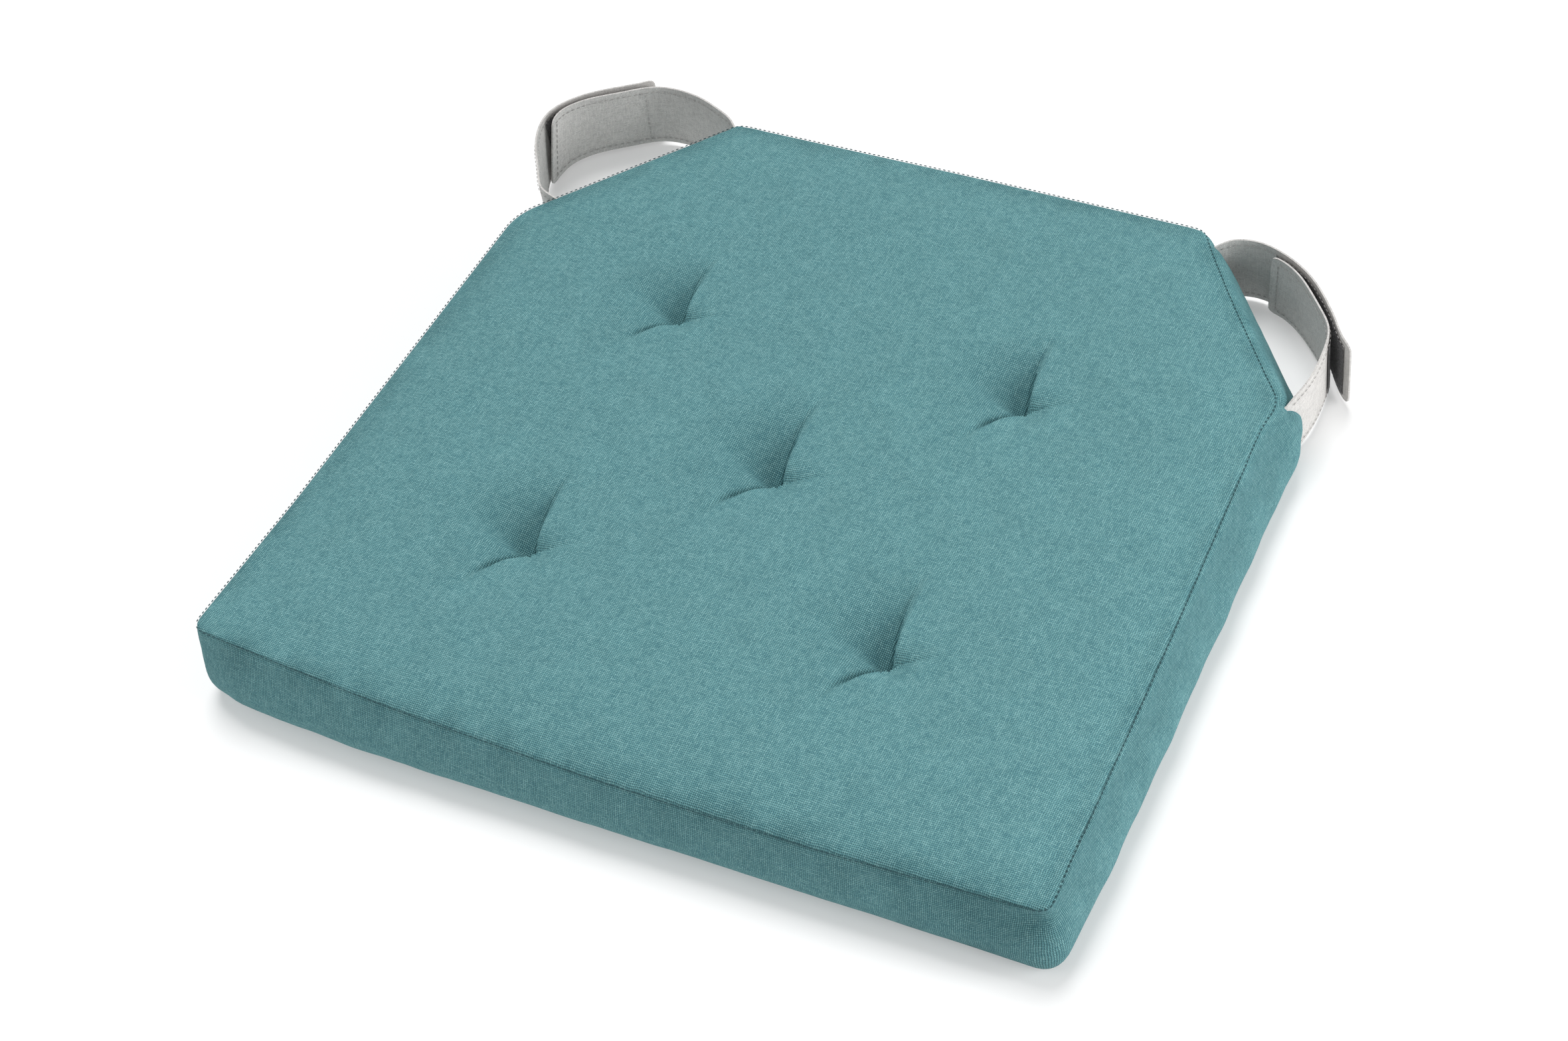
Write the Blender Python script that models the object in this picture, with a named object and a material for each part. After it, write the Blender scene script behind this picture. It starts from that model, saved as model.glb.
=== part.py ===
"""Tufted foam chair seat pad with two hook-and-loop strap loops, as separate sewn pieces.

Metres, +Z up, +Y towards the back of the chair. The origin is on the underside, at the middle
of the depth. Every piece stands about 0.3 mm from the pieces it touches in the real pad.
"""

import math

import bmesh
import bpy
from mathutils import Matrix, Vector

# ---- Driving dimensions -------------------------------------------------------------------
FRONT_WIDTH = 0.400  # across the front edge
SHOULDER_WIDTH = 0.390  # across the sides, where the slanted back corners begin
BACK_WIDTH = 0.245  # across the back edge
DEPTH = 0.380  # front edge to back edge
SIDE_LENGTH = 0.286  # front edge to the shoulders, measured along the depth
THICKNESS = 0.040
FRONT_CORNER_RADIUS = 0.008

CLOTH = 0.0008  # one layer of cover cloth
GAP = 0.0003  # clearance between neighbouring pieces
SEAM_ALLOWANCE = 0.008  # cloth turned inside along the top and bottom seams

TUFT_SPACING = (0.0872, 0.0770)  # half distance across and along, from the centre tuft
TUFT_CENTRE_Y = -0.0180
TOP_PIT_RADIUS = 0.034
TOP_PIT_DEPTH = 0.011
UNDER_PIT_RADIUS = 0.015
UNDER_PIT_DEPTH = 0.004
TIE_HOLE_RADIUS = 0.0015
TIE_RADIUS = 0.0009
KNOT_RADIUS = 0.0022
KNOT_HEIGHT = 0.0012
PIT_SEGMENTS = 28
PIT_RINGS = 5

STRAP_WIDTH = 0.036
STRAP_BOTTOM = 0.002
STRAP_THICKNESS = 0.0016  # two layers of strap cloth
STRAP_TIP_ROUND = 0.003
TAPE_THICKNESS = 0.0008
TAPE_WIDTH = 0.030
PATH_STEP = 0.0025  # spacing of the points along a strap

# ---- Derived places -----------------------------------------------------------------------
FRONT_Y = -DEPTH / 2
SHOULDER_Y = FRONT_Y + SIDE_LENGTH
BACK_Y = DEPTH / 2
STRAP_CENTRE_Z = STRAP_BOTTOM + STRAP_WIDTH / 2
# Half the distance between the middles of two straps with both tapes between them.
STRAP_SPREAD = (STRAP_THICKNESS + 3 * GAP) / 2 + TAPE_THICKNESS
TAPE_SPREAD = (TAPE_THICKNESS + GAP) / 2
ROOT_CLEARANCE = STRAP_THICKNESS / 2 + GAP  # hinge line to the pad's side

# Each loop is one closed line from its root at the side end of a slanted corner to its root at
# the back end. `shape` gives it as (part of the way between the roots, part of the reach).
LOOPS = {
    "left": {
        "side": -1,
        "outer_root": "side",
        "side_seam": 0.021,
        "back_seam": 0.117,
        "reach": 0.0665,
        "shape": (
            (-0.05, 0.21), (0.00, 0.45), (0.08, 0.76), (0.20, 0.955), (0.37, 1.00),
            (0.58, 0.925), (0.79, 0.80), (0.93, 0.53), (1.00, 0.18),
        ),
        "outer_length": 0.131,
        "outer_tip": 0.006,
        "inner_length": 0.117,
        "inner_tip": 0.004,
    },
    "right": {
        "side": 1,
        "outer_root": "back",
        "side_seam": 0.002,
        "back_seam": 0.1105,
        "reach": 0.0368,
        "shape": (
            (0.075, 0.33), (0.21, 0.70), (0.36, 0.96), (0.52, 1.00), (0.70, 0.955),
            (0.84, 0.82), (0.95, 0.60), (1.00, 0.33),
        ),
        "outer_length": 0.105,
        "outer_tip": 0.012,
        "inner_length": 0.107,
        "inner_tip": 0.005,
    },
}

# name: (linear base colour, roughness)
FINISHES = {
    "cover_cloth": ((0.147, 0.330, 0.352), 0.90),
    "strap_cloth": ((0.440, 0.440, 0.440), 0.90),
    "polyurethane_foam": ((0.780, 0.720, 0.560), 0.95),
    "hook_tape": ((0.150, 0.150, 0.150), 0.80),
    "loop_tape": ((0.260, 0.260, 0.260), 0.95),
    "tuft_thread": ((0.060, 0.180, 0.200), 0.85),
}


# ---- Small tools --------------------------------------------------------------------------
def clear_scene():
    """Remove every object that the file starts with."""
    for obj in list(bpy.data.objects):
        bpy.data.objects.remove(obj, do_unlink=True)


def finish_material(name):
    """Return the Principled material of this name, made on first use."""
    found = bpy.data.materials.get(name)
    if found:
        return found
    colour, roughness = FINISHES[name]
    material = bpy.data.materials.new(name)
    material.use_nodes = True
    shader = material.node_tree.nodes["Principled BSDF"]
    shader.inputs["Base Color"].default_value = (*colour, 1.0)
    shader.inputs["Roughness"].default_value = roughness
    shader.inputs["Metallic"].default_value = 0.0
    material.diffuse_color = (*colour, 1.0)
    return material


def new_piece(name, bm, finish, origin=(0.0, 0.0, 0.0)):
    """Turn a bmesh in world coordinates into a named object whose origin is `origin`."""
    bmesh.ops.remove_doubles(bm, verts=bm.verts, dist=1e-6)
    bmesh.ops.recalc_face_normals(bm, faces=bm.faces)
    bmesh.ops.translate(bm, verts=bm.verts, vec=-Vector(origin))
    mesh = bpy.data.meshes.new(name)
    bm.to_mesh(mesh)
    bm.free()
    mesh.materials.append(finish_material(finish))
    obj = bpy.data.objects.new(name, mesh)
    obj.location = origin
    bpy.context.scene.collection.objects.link(obj)
    return obj


# ---- The pad's outline --------------------------------------------------------------------
def outline_nodes():
    """Return (point, inward mitre) pairs anticlockwise from the left shoulder.

    A point moved along its mitre by some distance lies that far inside both its edges.
    """
    corners = [
        (-SHOULDER_WIDTH / 2, SHOULDER_Y, 0.0),
        (-FRONT_WIDTH / 2, FRONT_Y, FRONT_CORNER_RADIUS),
        (FRONT_WIDTH / 2, FRONT_Y, FRONT_CORNER_RADIUS),
        (SHOULDER_WIDTH / 2, SHOULDER_Y, 0.0),
        (BACK_WIDTH / 2, BACK_Y, 0.0),
        (-BACK_WIDTH / 2, BACK_Y, 0.0),
    ]
    nodes = []
    for index, (x, y, radius) in enumerate(corners):
        corner = Vector((x, y))
        before = (corner - Vector(corners[index - 1][:2])).normalized()
        after = (Vector(corners[(index + 1) % len(corners)][:2]) - corner).normalized()
        inward = Vector((-before.y, before.x)), Vector((-after.y, after.x))
        half_turn = before.angle(after) / 2
        mitre = (inward[0] + inward[1]).normalized() / math.cos(half_turn)
        if not radius:
            nodes.append((corner, mitre))
            continue
        centre = corner + mitre * radius
        steps = 6
        for step in range(steps + 1):
            turn = -half_turn + 2 * half_turn * step / steps
            ray = -(Matrix.Rotation(turn, 2) @ mitre.normalized())
            nodes.append((centre + ray * radius, -ray))
    return nodes


def outline(inset):
    """Return the plan outline moved inwards by `inset`, as a list of 2D points."""
    return [point + mitre * inset for point, mitre in outline_nodes()]


def corner_frame(loop):
    """Return (shoulder corner, unit vector to the back corner, outward normal, length)."""
    shoulder = Vector((loop["side"] * SHOULDER_WIDTH / 2, SHOULDER_Y))
    back = Vector((loop["side"] * BACK_WIDTH / 2, BACK_Y))
    along = (back - shoulder).normalized()
    outward = Vector((along.y, -along.x)) * loop["side"]
    return shoulder, along, outward, (back - shoulder).length


def seam_point(loop, distance):
    """Return the plan point on the slanted corner `distance` from its shoulder."""
    shoulder, along, _, _ = corner_frame(loop)
    return shoulder + along * distance


# ---- Cover and foam -----------------------------------------------------------------------
def tuft_places():
    """Return {name: (x, y)} of the five tufts."""
    across, along = TUFT_SPACING
    return {
        "centre": (0.0, TUFT_CENTRE_Y),
        "front_left": (-across, TUFT_CENTRE_Y - along),
        "front_right": (across, TUFT_CENTRE_Y - along),
        "back_left": (-across, TUFT_CENTRE_Y + along),
        "back_right": (across, TUFT_CENTRE_Y + along),
    }


def pit_depth_at(radius, pit_radius, depth):
    """Return how far a tuft's pit is sunk at `radius` from its middle."""
    return depth * max(0.0, 1.0 - radius / pit_radius) ** 2


def pitted_face(bm, inset, level, up, pit_radius, depth, offset=0.0):
    """Add the pad's plan as a face with five pits; return its outer edges and hole edges.

    `up` is 1 on the top and -1 on the underside, and `offset` sinks the pits' surface below
    the cloth's own by that distance, measured square to the surface.
    """
    outer = [bm.verts.new((p.x, p.y, level)) for p in outline(inset)]
    outer_edges = [bm.edges.new((a, b)) for a, b in zip(outer, outer[1:] + outer[:1])]
    rims = []
    for x, y in tuft_places().values():
        made = bmesh.ops.create_circle(
            bm,
            segments=PIT_SEGMENTS,
            radius=pit_radius,
            matrix=Matrix.Translation((x, y, level)),
        )
        rims.append(list({e for v in made["verts"] for e in v.link_edges}))
    flat = outer_edges + [edge for rim in rims for edge in rim]
    bmesh.ops.triangle_fill(bm, edges=flat, use_beauty=True, normal=(0, 0, up))
    holes = []
    for (x, y), rim in zip(tuft_places().values(), rims):
        radius, edges = pit_radius, rim
        for ring in range(1, PIT_RINGS + 1):
            target = TIE_HOLE_RADIUS + (pit_radius - TIE_HOLE_RADIUS) * (1 - ring / PIT_RINGS)
            slope = 2 * depth / pit_radius * (1 - target / pit_radius)
            sink = pit_depth_at(target, pit_radius, depth)
            sink += offset * (math.sqrt(1 + slope * slope) - 1)
            made = bmesh.ops.extrude_edge_only(bm, edges=edges)["geom"]
            verts = [g for g in made if isinstance(g, bmesh.types.BMVert)]
            edges = [g for g in made if isinstance(g, bmesh.types.BMEdge)]
            for vert in verts:
                vert.co.x = x + (vert.co.x - x) * target / radius
                vert.co.y = y + (vert.co.y - y) * target / radius
                vert.co.z = level - up * sink
            radius = target
        holes.append(edges)
    return outer_edges, holes


def make_foam_core():
    """The cut foam slab, with a pit on both faces and a thread hole at each tuft."""
    bm = bmesh.new()
    lining = CLOTH + GAP
    inset = 2 * lining
    top, top_holes = pitted_face(
        bm, inset, THICKNESS - lining, 1, TOP_PIT_RADIUS, TOP_PIT_DEPTH, lining
    )
    under, under_holes = pitted_face(
        bm, inset, lining, -1, UNDER_PIT_RADIUS, UNDER_PIT_DEPTH, lining
    )
    for above, below in zip([top] + top_holes, [under] + under_holes):
        bmesh.ops.bridge_loops(bm, edges=above + below)
    return new_piece("foam_core", bm, "polyurethane_foam")


def make_panel(name, up):
    """The top (up = 1) or bottom (up = -1) panel: pitted cloth with its edge turned in."""
    bm = bmesh.new()
    if up > 0:
        level, pit_radius, depth = THICKNESS, TOP_PIT_RADIUS, TOP_PIT_DEPTH
    else:
        level, pit_radius, depth = 0.0, UNDER_PIT_RADIUS, UNDER_PIT_DEPTH
    edges, _ = pitted_face(bm, CLOTH + GAP, level, up, pit_radius, depth)
    made = bmesh.ops.extrude_edge_only(bm, edges=edges)["geom"]
    lip = [g for g in made if isinstance(g, bmesh.types.BMVert)]
    bmesh.ops.translate(bm, verts=lip, vec=(0, 0, -up * SEAM_ALLOWANCE))
    panel = new_piece(name, bm, "cover_cloth")
    if panel.data.polygons[0].normal.z * up < 0:
        panel.data.flip_normals()
    solid = panel.modifiers.new("cloth", "SOLIDIFY")
    solid.thickness = CLOTH
    solid.offset = -1.0
    solid.use_even_offset = True
    solid.use_rim = True
    return panel


def make_band(name, start, end):
    """A strip of the cover's side, standing between two seam points of the outline.

    `start` and `end` are plan points on the outline, taken anticlockwise; the strip stops half
    a gap short of each.
    """
    nodes = outline_nodes()
    loop = nodes + nodes[:1]

    def place(target):
        """Return (edge index, point on the edge) nearest to a plan point."""
        best = None
        for index, ((a, _), (b, _)) in enumerate(zip(loop, loop[1:])):
            along = min(1.0, max(0.0, (target - a).dot(b - a) / (b - a).length_squared))
            point = a.lerp(b, along)
            if best is None or (point - target).length < best[0]:
                best = ((point - target).length, index, point)
        return best[1], best[2]

    def end_node(index, point, shift):
        a, b = loop[index][0], loop[index + 1][0]
        run = (b - a).normalized()
        return point + run * shift, Vector((-run.y, run.x))

    (first, from_point), (last, to_point) = place(start), place(end)
    strip = [end_node(first, from_point, GAP / 2)]
    index = (first + 1) % len(nodes)
    while True:
        strip.append(nodes[index])
        if index == last:
            break
        index = (index + 1) % len(nodes)
    strip.append(end_node(last, to_point, -GAP / 2))

    bm = bmesh.new()
    outer = [bm.verts.new((p.x, p.y, GAP)) for p, _ in strip]
    inner = [bm.verts.new((*(p + m * CLOTH), GAP)) for p, m in strip]
    floor = [
        bm.faces.new((outer[i], inner[i], inner[i + 1], outer[i + 1]))
        for i in range(len(strip) - 1)
    ]
    made = bmesh.ops.extrude_face_region(bm, geom=floor)["geom"]
    top = [g for g in made if isinstance(g, bmesh.types.BMVert)]
    bmesh.ops.translate(bm, verts=top, vec=(0, 0, THICKNESS - 2 * GAP))
    return new_piece(name, bm, "cover_cloth")


def make_flat_band(name, start, end):
    """A band strip whose two ends lie on the same straight edge of the outline."""
    run = (end - start).normalized()
    inward = Vector((-run.y, run.x))
    a, b = start + run * GAP / 2, end - run * GAP / 2
    bm = bmesh.new()
    corners = [a, b, b + inward * CLOTH, a + inward * CLOTH]
    face = bm.faces.new([bm.verts.new((p.x, p.y, GAP)) for p in corners])
    made = bmesh.ops.extrude_face_region(bm, geom=[face])["geom"]
    top = [g for g in made if isinstance(g, bmesh.types.BMVert)]
    bmesh.ops.translate(bm, verts=top, vec=(0, 0, THICKNESS - 2 * GAP))
    return new_piece(name, bm, "cover_cloth")


def make_tuft_tie(name, x, y):
    """The thread through one tuft, with a small knot seated in each pit."""
    clearance = 0.0004

    def seat(radius, pit_radius, depth):
        return pit_depth_at(radius, pit_radius, depth) - clearance

    top = [THICKNESS - seat(r, TOP_PIT_RADIUS, TOP_PIT_DEPTH) for r in (TIE_RADIUS, KNOT_RADIUS)]
    under = [seat(r, UNDER_PIT_RADIUS, UNDER_PIT_DEPTH) for r in (TIE_RADIUS, KNOT_RADIUS)]
    profile = [
        (0.0, under[1] - KNOT_HEIGHT),
        (KNOT_RADIUS * 0.7, under[1] - KNOT_HEIGHT * 0.8),
        (KNOT_RADIUS, under[1] - KNOT_HEIGHT * 0.3),
        (KNOT_RADIUS, under[1]),
        (TIE_RADIUS, under[0]),
        (TIE_RADIUS, top[0]),
        (KNOT_RADIUS, top[1]),
        (KNOT_RADIUS, top[1] + KNOT_HEIGHT * 0.3),
        (KNOT_RADIUS * 0.7, top[1] + KNOT_HEIGHT * 0.8),
        (0.0, top[1] + KNOT_HEIGHT),
    ]
    bm = bmesh.new()
    verts = [bm.verts.new((x + r, y, z)) for r, z in profile]
    edges = [bm.edges.new(pair) for pair in zip(verts, verts[1:])]
    bmesh.ops.spin(
        bm,
        geom=verts + edges,
        cent=(x, y, 0),
        axis=(0, 0, 1),
        angle=2 * math.pi,
        steps=16,
        use_merge=True,
    )
    tie = new_piece(name, bm, "tuft_thread")
    tie.data.shade_smooth()
    return tie


# ---- Straps and tapes ---------------------------------------------------------------------
def smooth_line(points):
    """Return a Catmull-Rom line through 2D points, resampled at about PATH_STEP."""
    ends = [points[0] * 2 - points[1]] + points + [points[-1] * 2 - points[-2]]
    fine = []
    for a, b, c, d in zip(ends, ends[1:], ends[2:], ends[3:]):
        for step in range(24):
            t = step / 24
            fine.append(
                0.5
                * (
                    2 * b
                    + (c - a) * t
                    + (2 * a - 5 * b + 4 * c - d) * t * t
                    + (3 * b - a - 3 * c + d) * t * t * t
                )
            )
    fine.append(points[-1])
    return resampled(fine, PATH_STEP)


def resampled(points, step):
    """Return the polyline with points evenly spaced, about `step` apart."""
    lengths = [(b - a).length for a, b in zip(points, points[1:])]
    total = sum(lengths)
    count = max(2, round(total / step))
    result, index, walked = [points[0]], 0, 0.0
    for n in range(1, count):
        target = total * n / count
        while walked + lengths[index] < target:
            walked += lengths[index]
            index += 1
        result.append(points[index].lerp(points[index + 1], (target - walked) / lengths[index]))
    return result + [points[-1]]


def cut(points, length):
    """Return the first `length` of a polyline."""
    kept, walked = [points[0]], 0.0
    for a, b in zip(points, points[1:]):
        step = (b - a).length
        if walked + step >= length:
            return kept + [a.lerp(b, (length - walked) / step)]
        kept.append(b)
        walked += step
    return kept


def offset_line(points, distance):
    """Return the polyline moved to its left by `distance`."""
    moved = []
    for index, point in enumerate(points):
        run = points[min(index + 1, len(points) - 1)] - points[max(index - 1, 0)]
        run.normalize()
        moved.append(point + Vector((-run.y, run.x)) * distance)
    return moved


def loop_middle(loop):
    """Return the plan line midway between the two straps, from the side root to the back."""
    shoulder, along, outward, _ = corner_frame(loop)
    spread = STRAP_SPREAD if loop["outer_root"] == "side" else -STRAP_SPREAD
    side, back = loop["side_seam"] + spread, loop["back_seam"] + spread
    local = [(side, ROOT_CLEARANCE)]
    local += [(side + (back - side) * t, loop["reach"] * w) for t, w in loop["shape"]]
    local.append((back, ROOT_CLEARANCE))
    return smooth_line([shoulder + along * u + outward * v for u, v in local])


def strap_line(loop, which):
    """Return the plan centreline of the "outer" or "inner" strap from its root to its tip."""
    at_side = (loop["outer_root"] == "side") == (which == "outer")
    middle = loop_middle(loop)
    if not at_side:
        middle = middle[::-1]
    # Looking out along the line, the loop's outside is on the left or on the right.
    outside = 1 if (loop["side"] > 0) != at_side else -1
    distance = outside * (STRAP_SPREAD if which == "outer" else -STRAP_SPREAD)
    _, _, outward, _ = corner_frame(loop)
    seam = loop["side_seam"] if at_side else loop["back_seam"]
    root = seam_point(loop, seam) + outward * ROOT_CLEARANCE
    body = [p for p in offset_line(middle, distance) if (p - root).length > 2 * PATH_STEP]
    length, tip = loop[which + "_length"], loop[which + "_tip"]
    line = cut([root] + body, length - tip)
    run = (line[-1] - line[-2]).normalized()
    return resampled(line + [line[-1] + run * tip], PATH_STEP)


def tape_line(loop, which):
    """Return the centreline of the tape on the "outer" or "inner" strap."""
    middle = loop_middle(loop)
    total = sum((b - a).length for a, b in zip(middle, middle[1:]))
    margin = 2 * PATH_STEP
    outer_from = total - loop["outer_length"] + loop["outer_tip"] + margin
    inner_from = total - loop["inner_length"] + loop["inner_tip"] + margin
    if loop["outer_root"] == "side":
        start, end = inner_from, total - outer_from
    else:
        start, end = outer_from, total - inner_from
    rest = cut(middle[::-1], total - start)[::-1]
    line = cut(rest, end - start)
    outside = 1 if loop["side"] < 0 else -1
    side = outside if which == "outer" else -outside
    return resampled(offset_line(line, side * TAPE_SPREAD), PATH_STEP)


def ribbon(line, thickness, width, round_root=False, tip_round=0.0):
    """Return a bmesh of a band of cloth standing on its edge along a plan line."""
    bm = bmesh.new()
    low = STRAP_CENTRE_Z - width / 2
    sides = [
        [bm.verts.new((p.x, p.y, low)) for p in offset_line(line, s * thickness / 2)]
        for s in (1, -1)
    ]
    floor = [
        bm.faces.new((sides[0][i], sides[1][i], sides[1][i + 1], sides[0][i + 1]))
        for i in range(len(line) - 1)
    ]
    if round_root:
        back = (line[0] - line[1]).normalized()
        arc = [
            Matrix.Rotation(math.radians(a), 2) @ back * thickness / 2 + line[0]
            for a in (-54, -18, 18, 54)
        ]
        knuckle = [sides[0][0]] + [bm.verts.new((p.x, p.y, low)) for p in arc] + [sides[1][0]]
        floor.append(bm.faces.new(knuckle))
    tip = [sides[0][-1], sides[1][-1]]
    made = bmesh.ops.extrude_face_region(bm, geom=floor)["geom"]
    top = [g for g in made if isinstance(g, bmesh.types.BMVert)]
    bmesh.ops.translate(bm, verts=top, vec=(0, 0, width))
    if tip_round:
        ends = [
            edge
            for edge in bm.edges
            if abs(edge.verts[0].co.z - edge.verts[1].co.z) < 1e-6
            and all(
                min((vert.co.xy - end.co.xy).length for end in tip) < 1e-6
                for vert in edge.verts
            )
        ]
        bmesh.ops.bevel(
            bm, geom=ends, offset=tip_round, segments=4, profile=0.5, affect="EDGES", material=-1
        )
    return bm


def make_strap(side, which):
    """One strap of one loop, with its origin on its root's hinge line."""
    line = strap_line(LOOPS[side], which)
    bm = ribbon(line, STRAP_THICKNESS, STRAP_WIDTH, True, STRAP_TIP_ROUND)
    origin = (line[0].x, line[0].y, STRAP_CENTRE_Z)
    return new_piece(f"{side}_{which}_strap", bm, "strap_cloth", origin)


def make_tape(side, which):
    """The hook tape on an outer strap or the loop tape on an inner one."""
    line = tape_line(LOOPS[side], which)
    kind = "hook_tape" if which == "outer" else "loop_tape"
    root = strap_line(LOOPS[side], which)[0]
    origin = (root.x, root.y, STRAP_CENTRE_Z)
    return new_piece(f"{side}_{kind}", ribbon(line, TAPE_THICKNESS, TAPE_WIDTH), kind, origin)


def main():
    """Build the seat pad."""
    clear_scene()
    make_foam_core()
    make_panel("top_panel", 1)
    make_panel("bottom_panel", -1)

    left, right = LOOPS["left"], LOOPS["right"]
    seams = {
        "left_side": seam_point(left, left["side_seam"]),
        "left_back": seam_point(left, left["back_seam"]),
        "right_side": seam_point(right, right["side_seam"]),
        "right_back": seam_point(right, right["back_seam"]),
    }
    make_band("front_side_band", seams["left_side"], seams["right_side"])
    make_band("back_band", seams["right_back"], seams["left_back"])
    make_flat_band("right_corner_band", seams["right_side"], seams["right_back"])
    make_flat_band("left_corner_band", seams["left_back"], seams["left_side"])

    for place, (x, y) in tuft_places().items():
        make_tuft_tie(f"tuft_tie_{place}", x, y)
    for side in LOOPS:
        for which in ("outer", "inner"):
            make_strap(side, which)
            make_tape(side, which)


if __name__ == "__main__":
    main()
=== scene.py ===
"""Tufted chair seat pad with two hook-and-loop strap loops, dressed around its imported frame.

Metres, +Z up, +Y towards the back of the chair, origin on the underside at mid-depth.
"""

import logging
import math
from dataclasses import dataclass, field, replace
from enum import Enum

import bmesh
import bpy
import numpy as np
from mathutils import Matrix, Vector


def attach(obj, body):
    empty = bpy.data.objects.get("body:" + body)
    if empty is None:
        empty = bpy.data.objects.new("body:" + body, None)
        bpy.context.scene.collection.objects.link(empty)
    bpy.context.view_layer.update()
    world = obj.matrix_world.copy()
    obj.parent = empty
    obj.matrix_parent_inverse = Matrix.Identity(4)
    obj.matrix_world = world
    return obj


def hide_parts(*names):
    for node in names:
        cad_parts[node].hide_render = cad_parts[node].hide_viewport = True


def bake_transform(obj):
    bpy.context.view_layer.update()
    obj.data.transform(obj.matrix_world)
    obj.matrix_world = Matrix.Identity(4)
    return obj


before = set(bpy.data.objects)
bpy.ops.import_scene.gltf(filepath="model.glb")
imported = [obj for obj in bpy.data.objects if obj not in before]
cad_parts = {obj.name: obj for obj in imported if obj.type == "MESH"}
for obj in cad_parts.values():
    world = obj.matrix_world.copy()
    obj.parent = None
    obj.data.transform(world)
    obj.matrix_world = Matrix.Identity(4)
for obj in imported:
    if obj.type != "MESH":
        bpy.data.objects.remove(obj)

LOG = logging.getLogger("seat_pad")
MM = 0.001
SEED = 20
RING_STEP = 0.002


class Side(Enum):
    """Which side of the pad a loop is on, as seen by someone sitting down backwards."""

    LEFT = "left"
    RIGHT = "right"


class Layer(Enum):
    """Which strap of a loop: the one on the outside of the overlap or the inside."""

    OUTER = "outer"
    INNER = "inner"


# ---- Small tools --------------------------------------------------------------------------
def linear(colour: str, alpha: float = 1.0) -> tuple[float, float, float, float]:
    """Turn an sRGB hex colour into linear values.

    Args:
        colour: Six hex digits.
        alpha: Opacity.

    Returns:
        Red, green, blue and alpha.
    """
    parts = [int(colour[i : i + 2], 16) / 255 for i in (0, 2, 4)]
    parts = [c / 12.92 if c <= 0.04045 else ((c + 0.055) / 1.055) ** 2.4 for c in parts]
    return (*parts, alpha)


def add(
    tree: bpy.types.NodeTree, kind: str, settings: dict | None = None, inputs: dict | None = None
) -> bpy.types.Node:
    """Add one node, with its settings and its links.

    Args:
        tree: The tree that takes the node.
        kind: The node's type name.
        settings: Property values of the node.
        inputs: Value or output socket for each input, by name or number.

    Returns:
        The new node.
    """
    node = tree.nodes.new(kind)
    for key, value in (settings or {}).items():
        setattr(node, key, value)
    for key, value in (inputs or {}).items():
        socket = node.inputs[key]
        if isinstance(value, bpy.types.NodeSocket):
            tree.links.new(value, socket)
        else:
            socket.default_value = value
    return node


def ripple(
    points: np.ndarray, wavelength: float, seed: int, stretch: tuple[float, ...] = (1.0, 1.0)
) -> np.ndarray:
    """Give smooth, repeatable unevenness at each point.

    Args:
        points: One row of coordinates for each point.
        wavelength: Typical distance between two crests.
        seed: Picks the pattern.
        stretch: How much longer the crests are along each coordinate.

    Returns:
        About -1 to 1 for each point.
    """
    dice = np.random.default_rng(SEED + seed)
    waves = 14
    total = np.zeros(len(points))
    scaled = points / np.array(stretch)[: points.shape[1]]
    for _ in range(waves):
        way = dice.normal(size=points.shape[1])
        way /= np.linalg.norm(way)
        length = wavelength * dice.uniform(0.7, 1.6)
        total += np.cos(2 * math.pi * (scaled @ way) / length + dice.uniform(0, 2 * math.pi))
    return total / math.sqrt(waves * 2)


def smooth_step(value: np.ndarray) -> np.ndarray:
    """Ease from 0 to 1 as the value goes from 0 to 1."""
    value = np.clip(value, 0.0, 1.0)
    return value * value * (3 - 2 * value)


def bell(value: np.ndarray, width: float) -> np.ndarray:
    """Give 1 where the value is 0, fading to 0 on both sides."""
    return np.exp(-((value / width) ** 2))


def fade(distance: np.ndarray, reach: float, power: float) -> np.ndarray:
    """Fall from 1 at no distance to 0 at the reach."""
    return np.clip(1 - distance / reach, 0, 1) ** power


def unit_rows(rows: np.ndarray) -> np.ndarray:
    """Make each row one long."""
    return rows / np.linalg.norm(rows, axis=1)[:, None]


def graded_lines(
    start: float, end: float, coarse: float, marks: list[tuple[float, float, float]]
) -> np.ndarray:
    """Space grid lines closely near some marks and widely elsewhere.

    Args:
        start: First line.
        end: Last line.
        coarse: Widest spacing.
        marks: Place, spacing there, and how fast the spacing grows away from it.

    Returns:
        The lines, with one exactly on each mark.
    """
    stops = sorted({start, end, *[m[0] for m in marks if start < m[0] < end]})
    lines = [start]
    for low, high in zip(stops, stops[1:]):
        fine = np.linspace(low, high, 400)
        spacing = np.full(400, coarse)
        for place, width, growth in marks:
            spacing = np.minimum(spacing, width + growth * np.abs(fine - place))
        density = np.concatenate([[0], np.cumsum((1 / spacing[1:] + 1 / spacing[:-1]) / 2)])
        density *= (high - low) / 399
        count = max(1, math.ceil(density[-1] - 1e-9))
        lines += list(np.interp(np.arange(1, count + 1) / count * density[-1], density, fine))
    return np.array(lines)


def mesh_piece(name: str, bm: bmesh.types.BMesh, material: bpy.types.Material) -> bpy.types.Object:
    """Turn a finished bmesh into an object at the origin, shaded smooth.

    Args:
        name: The piece's name.
        bm: Its mesh, in metres in the frame. It is freed.
        material: Its finish.

    Returns:
        The object.
    """
    mesh = bpy.data.meshes.new(name)
    bm.to_mesh(mesh)
    bm.free()
    mesh.polygons.foreach_set("use_smooth", np.ones(len(mesh.polygons), bool))
    mesh.materials.append(material)
    obj = bpy.data.objects.new(name, mesh)
    bpy.context.scene.collection.objects.link(obj)
    return obj


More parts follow.
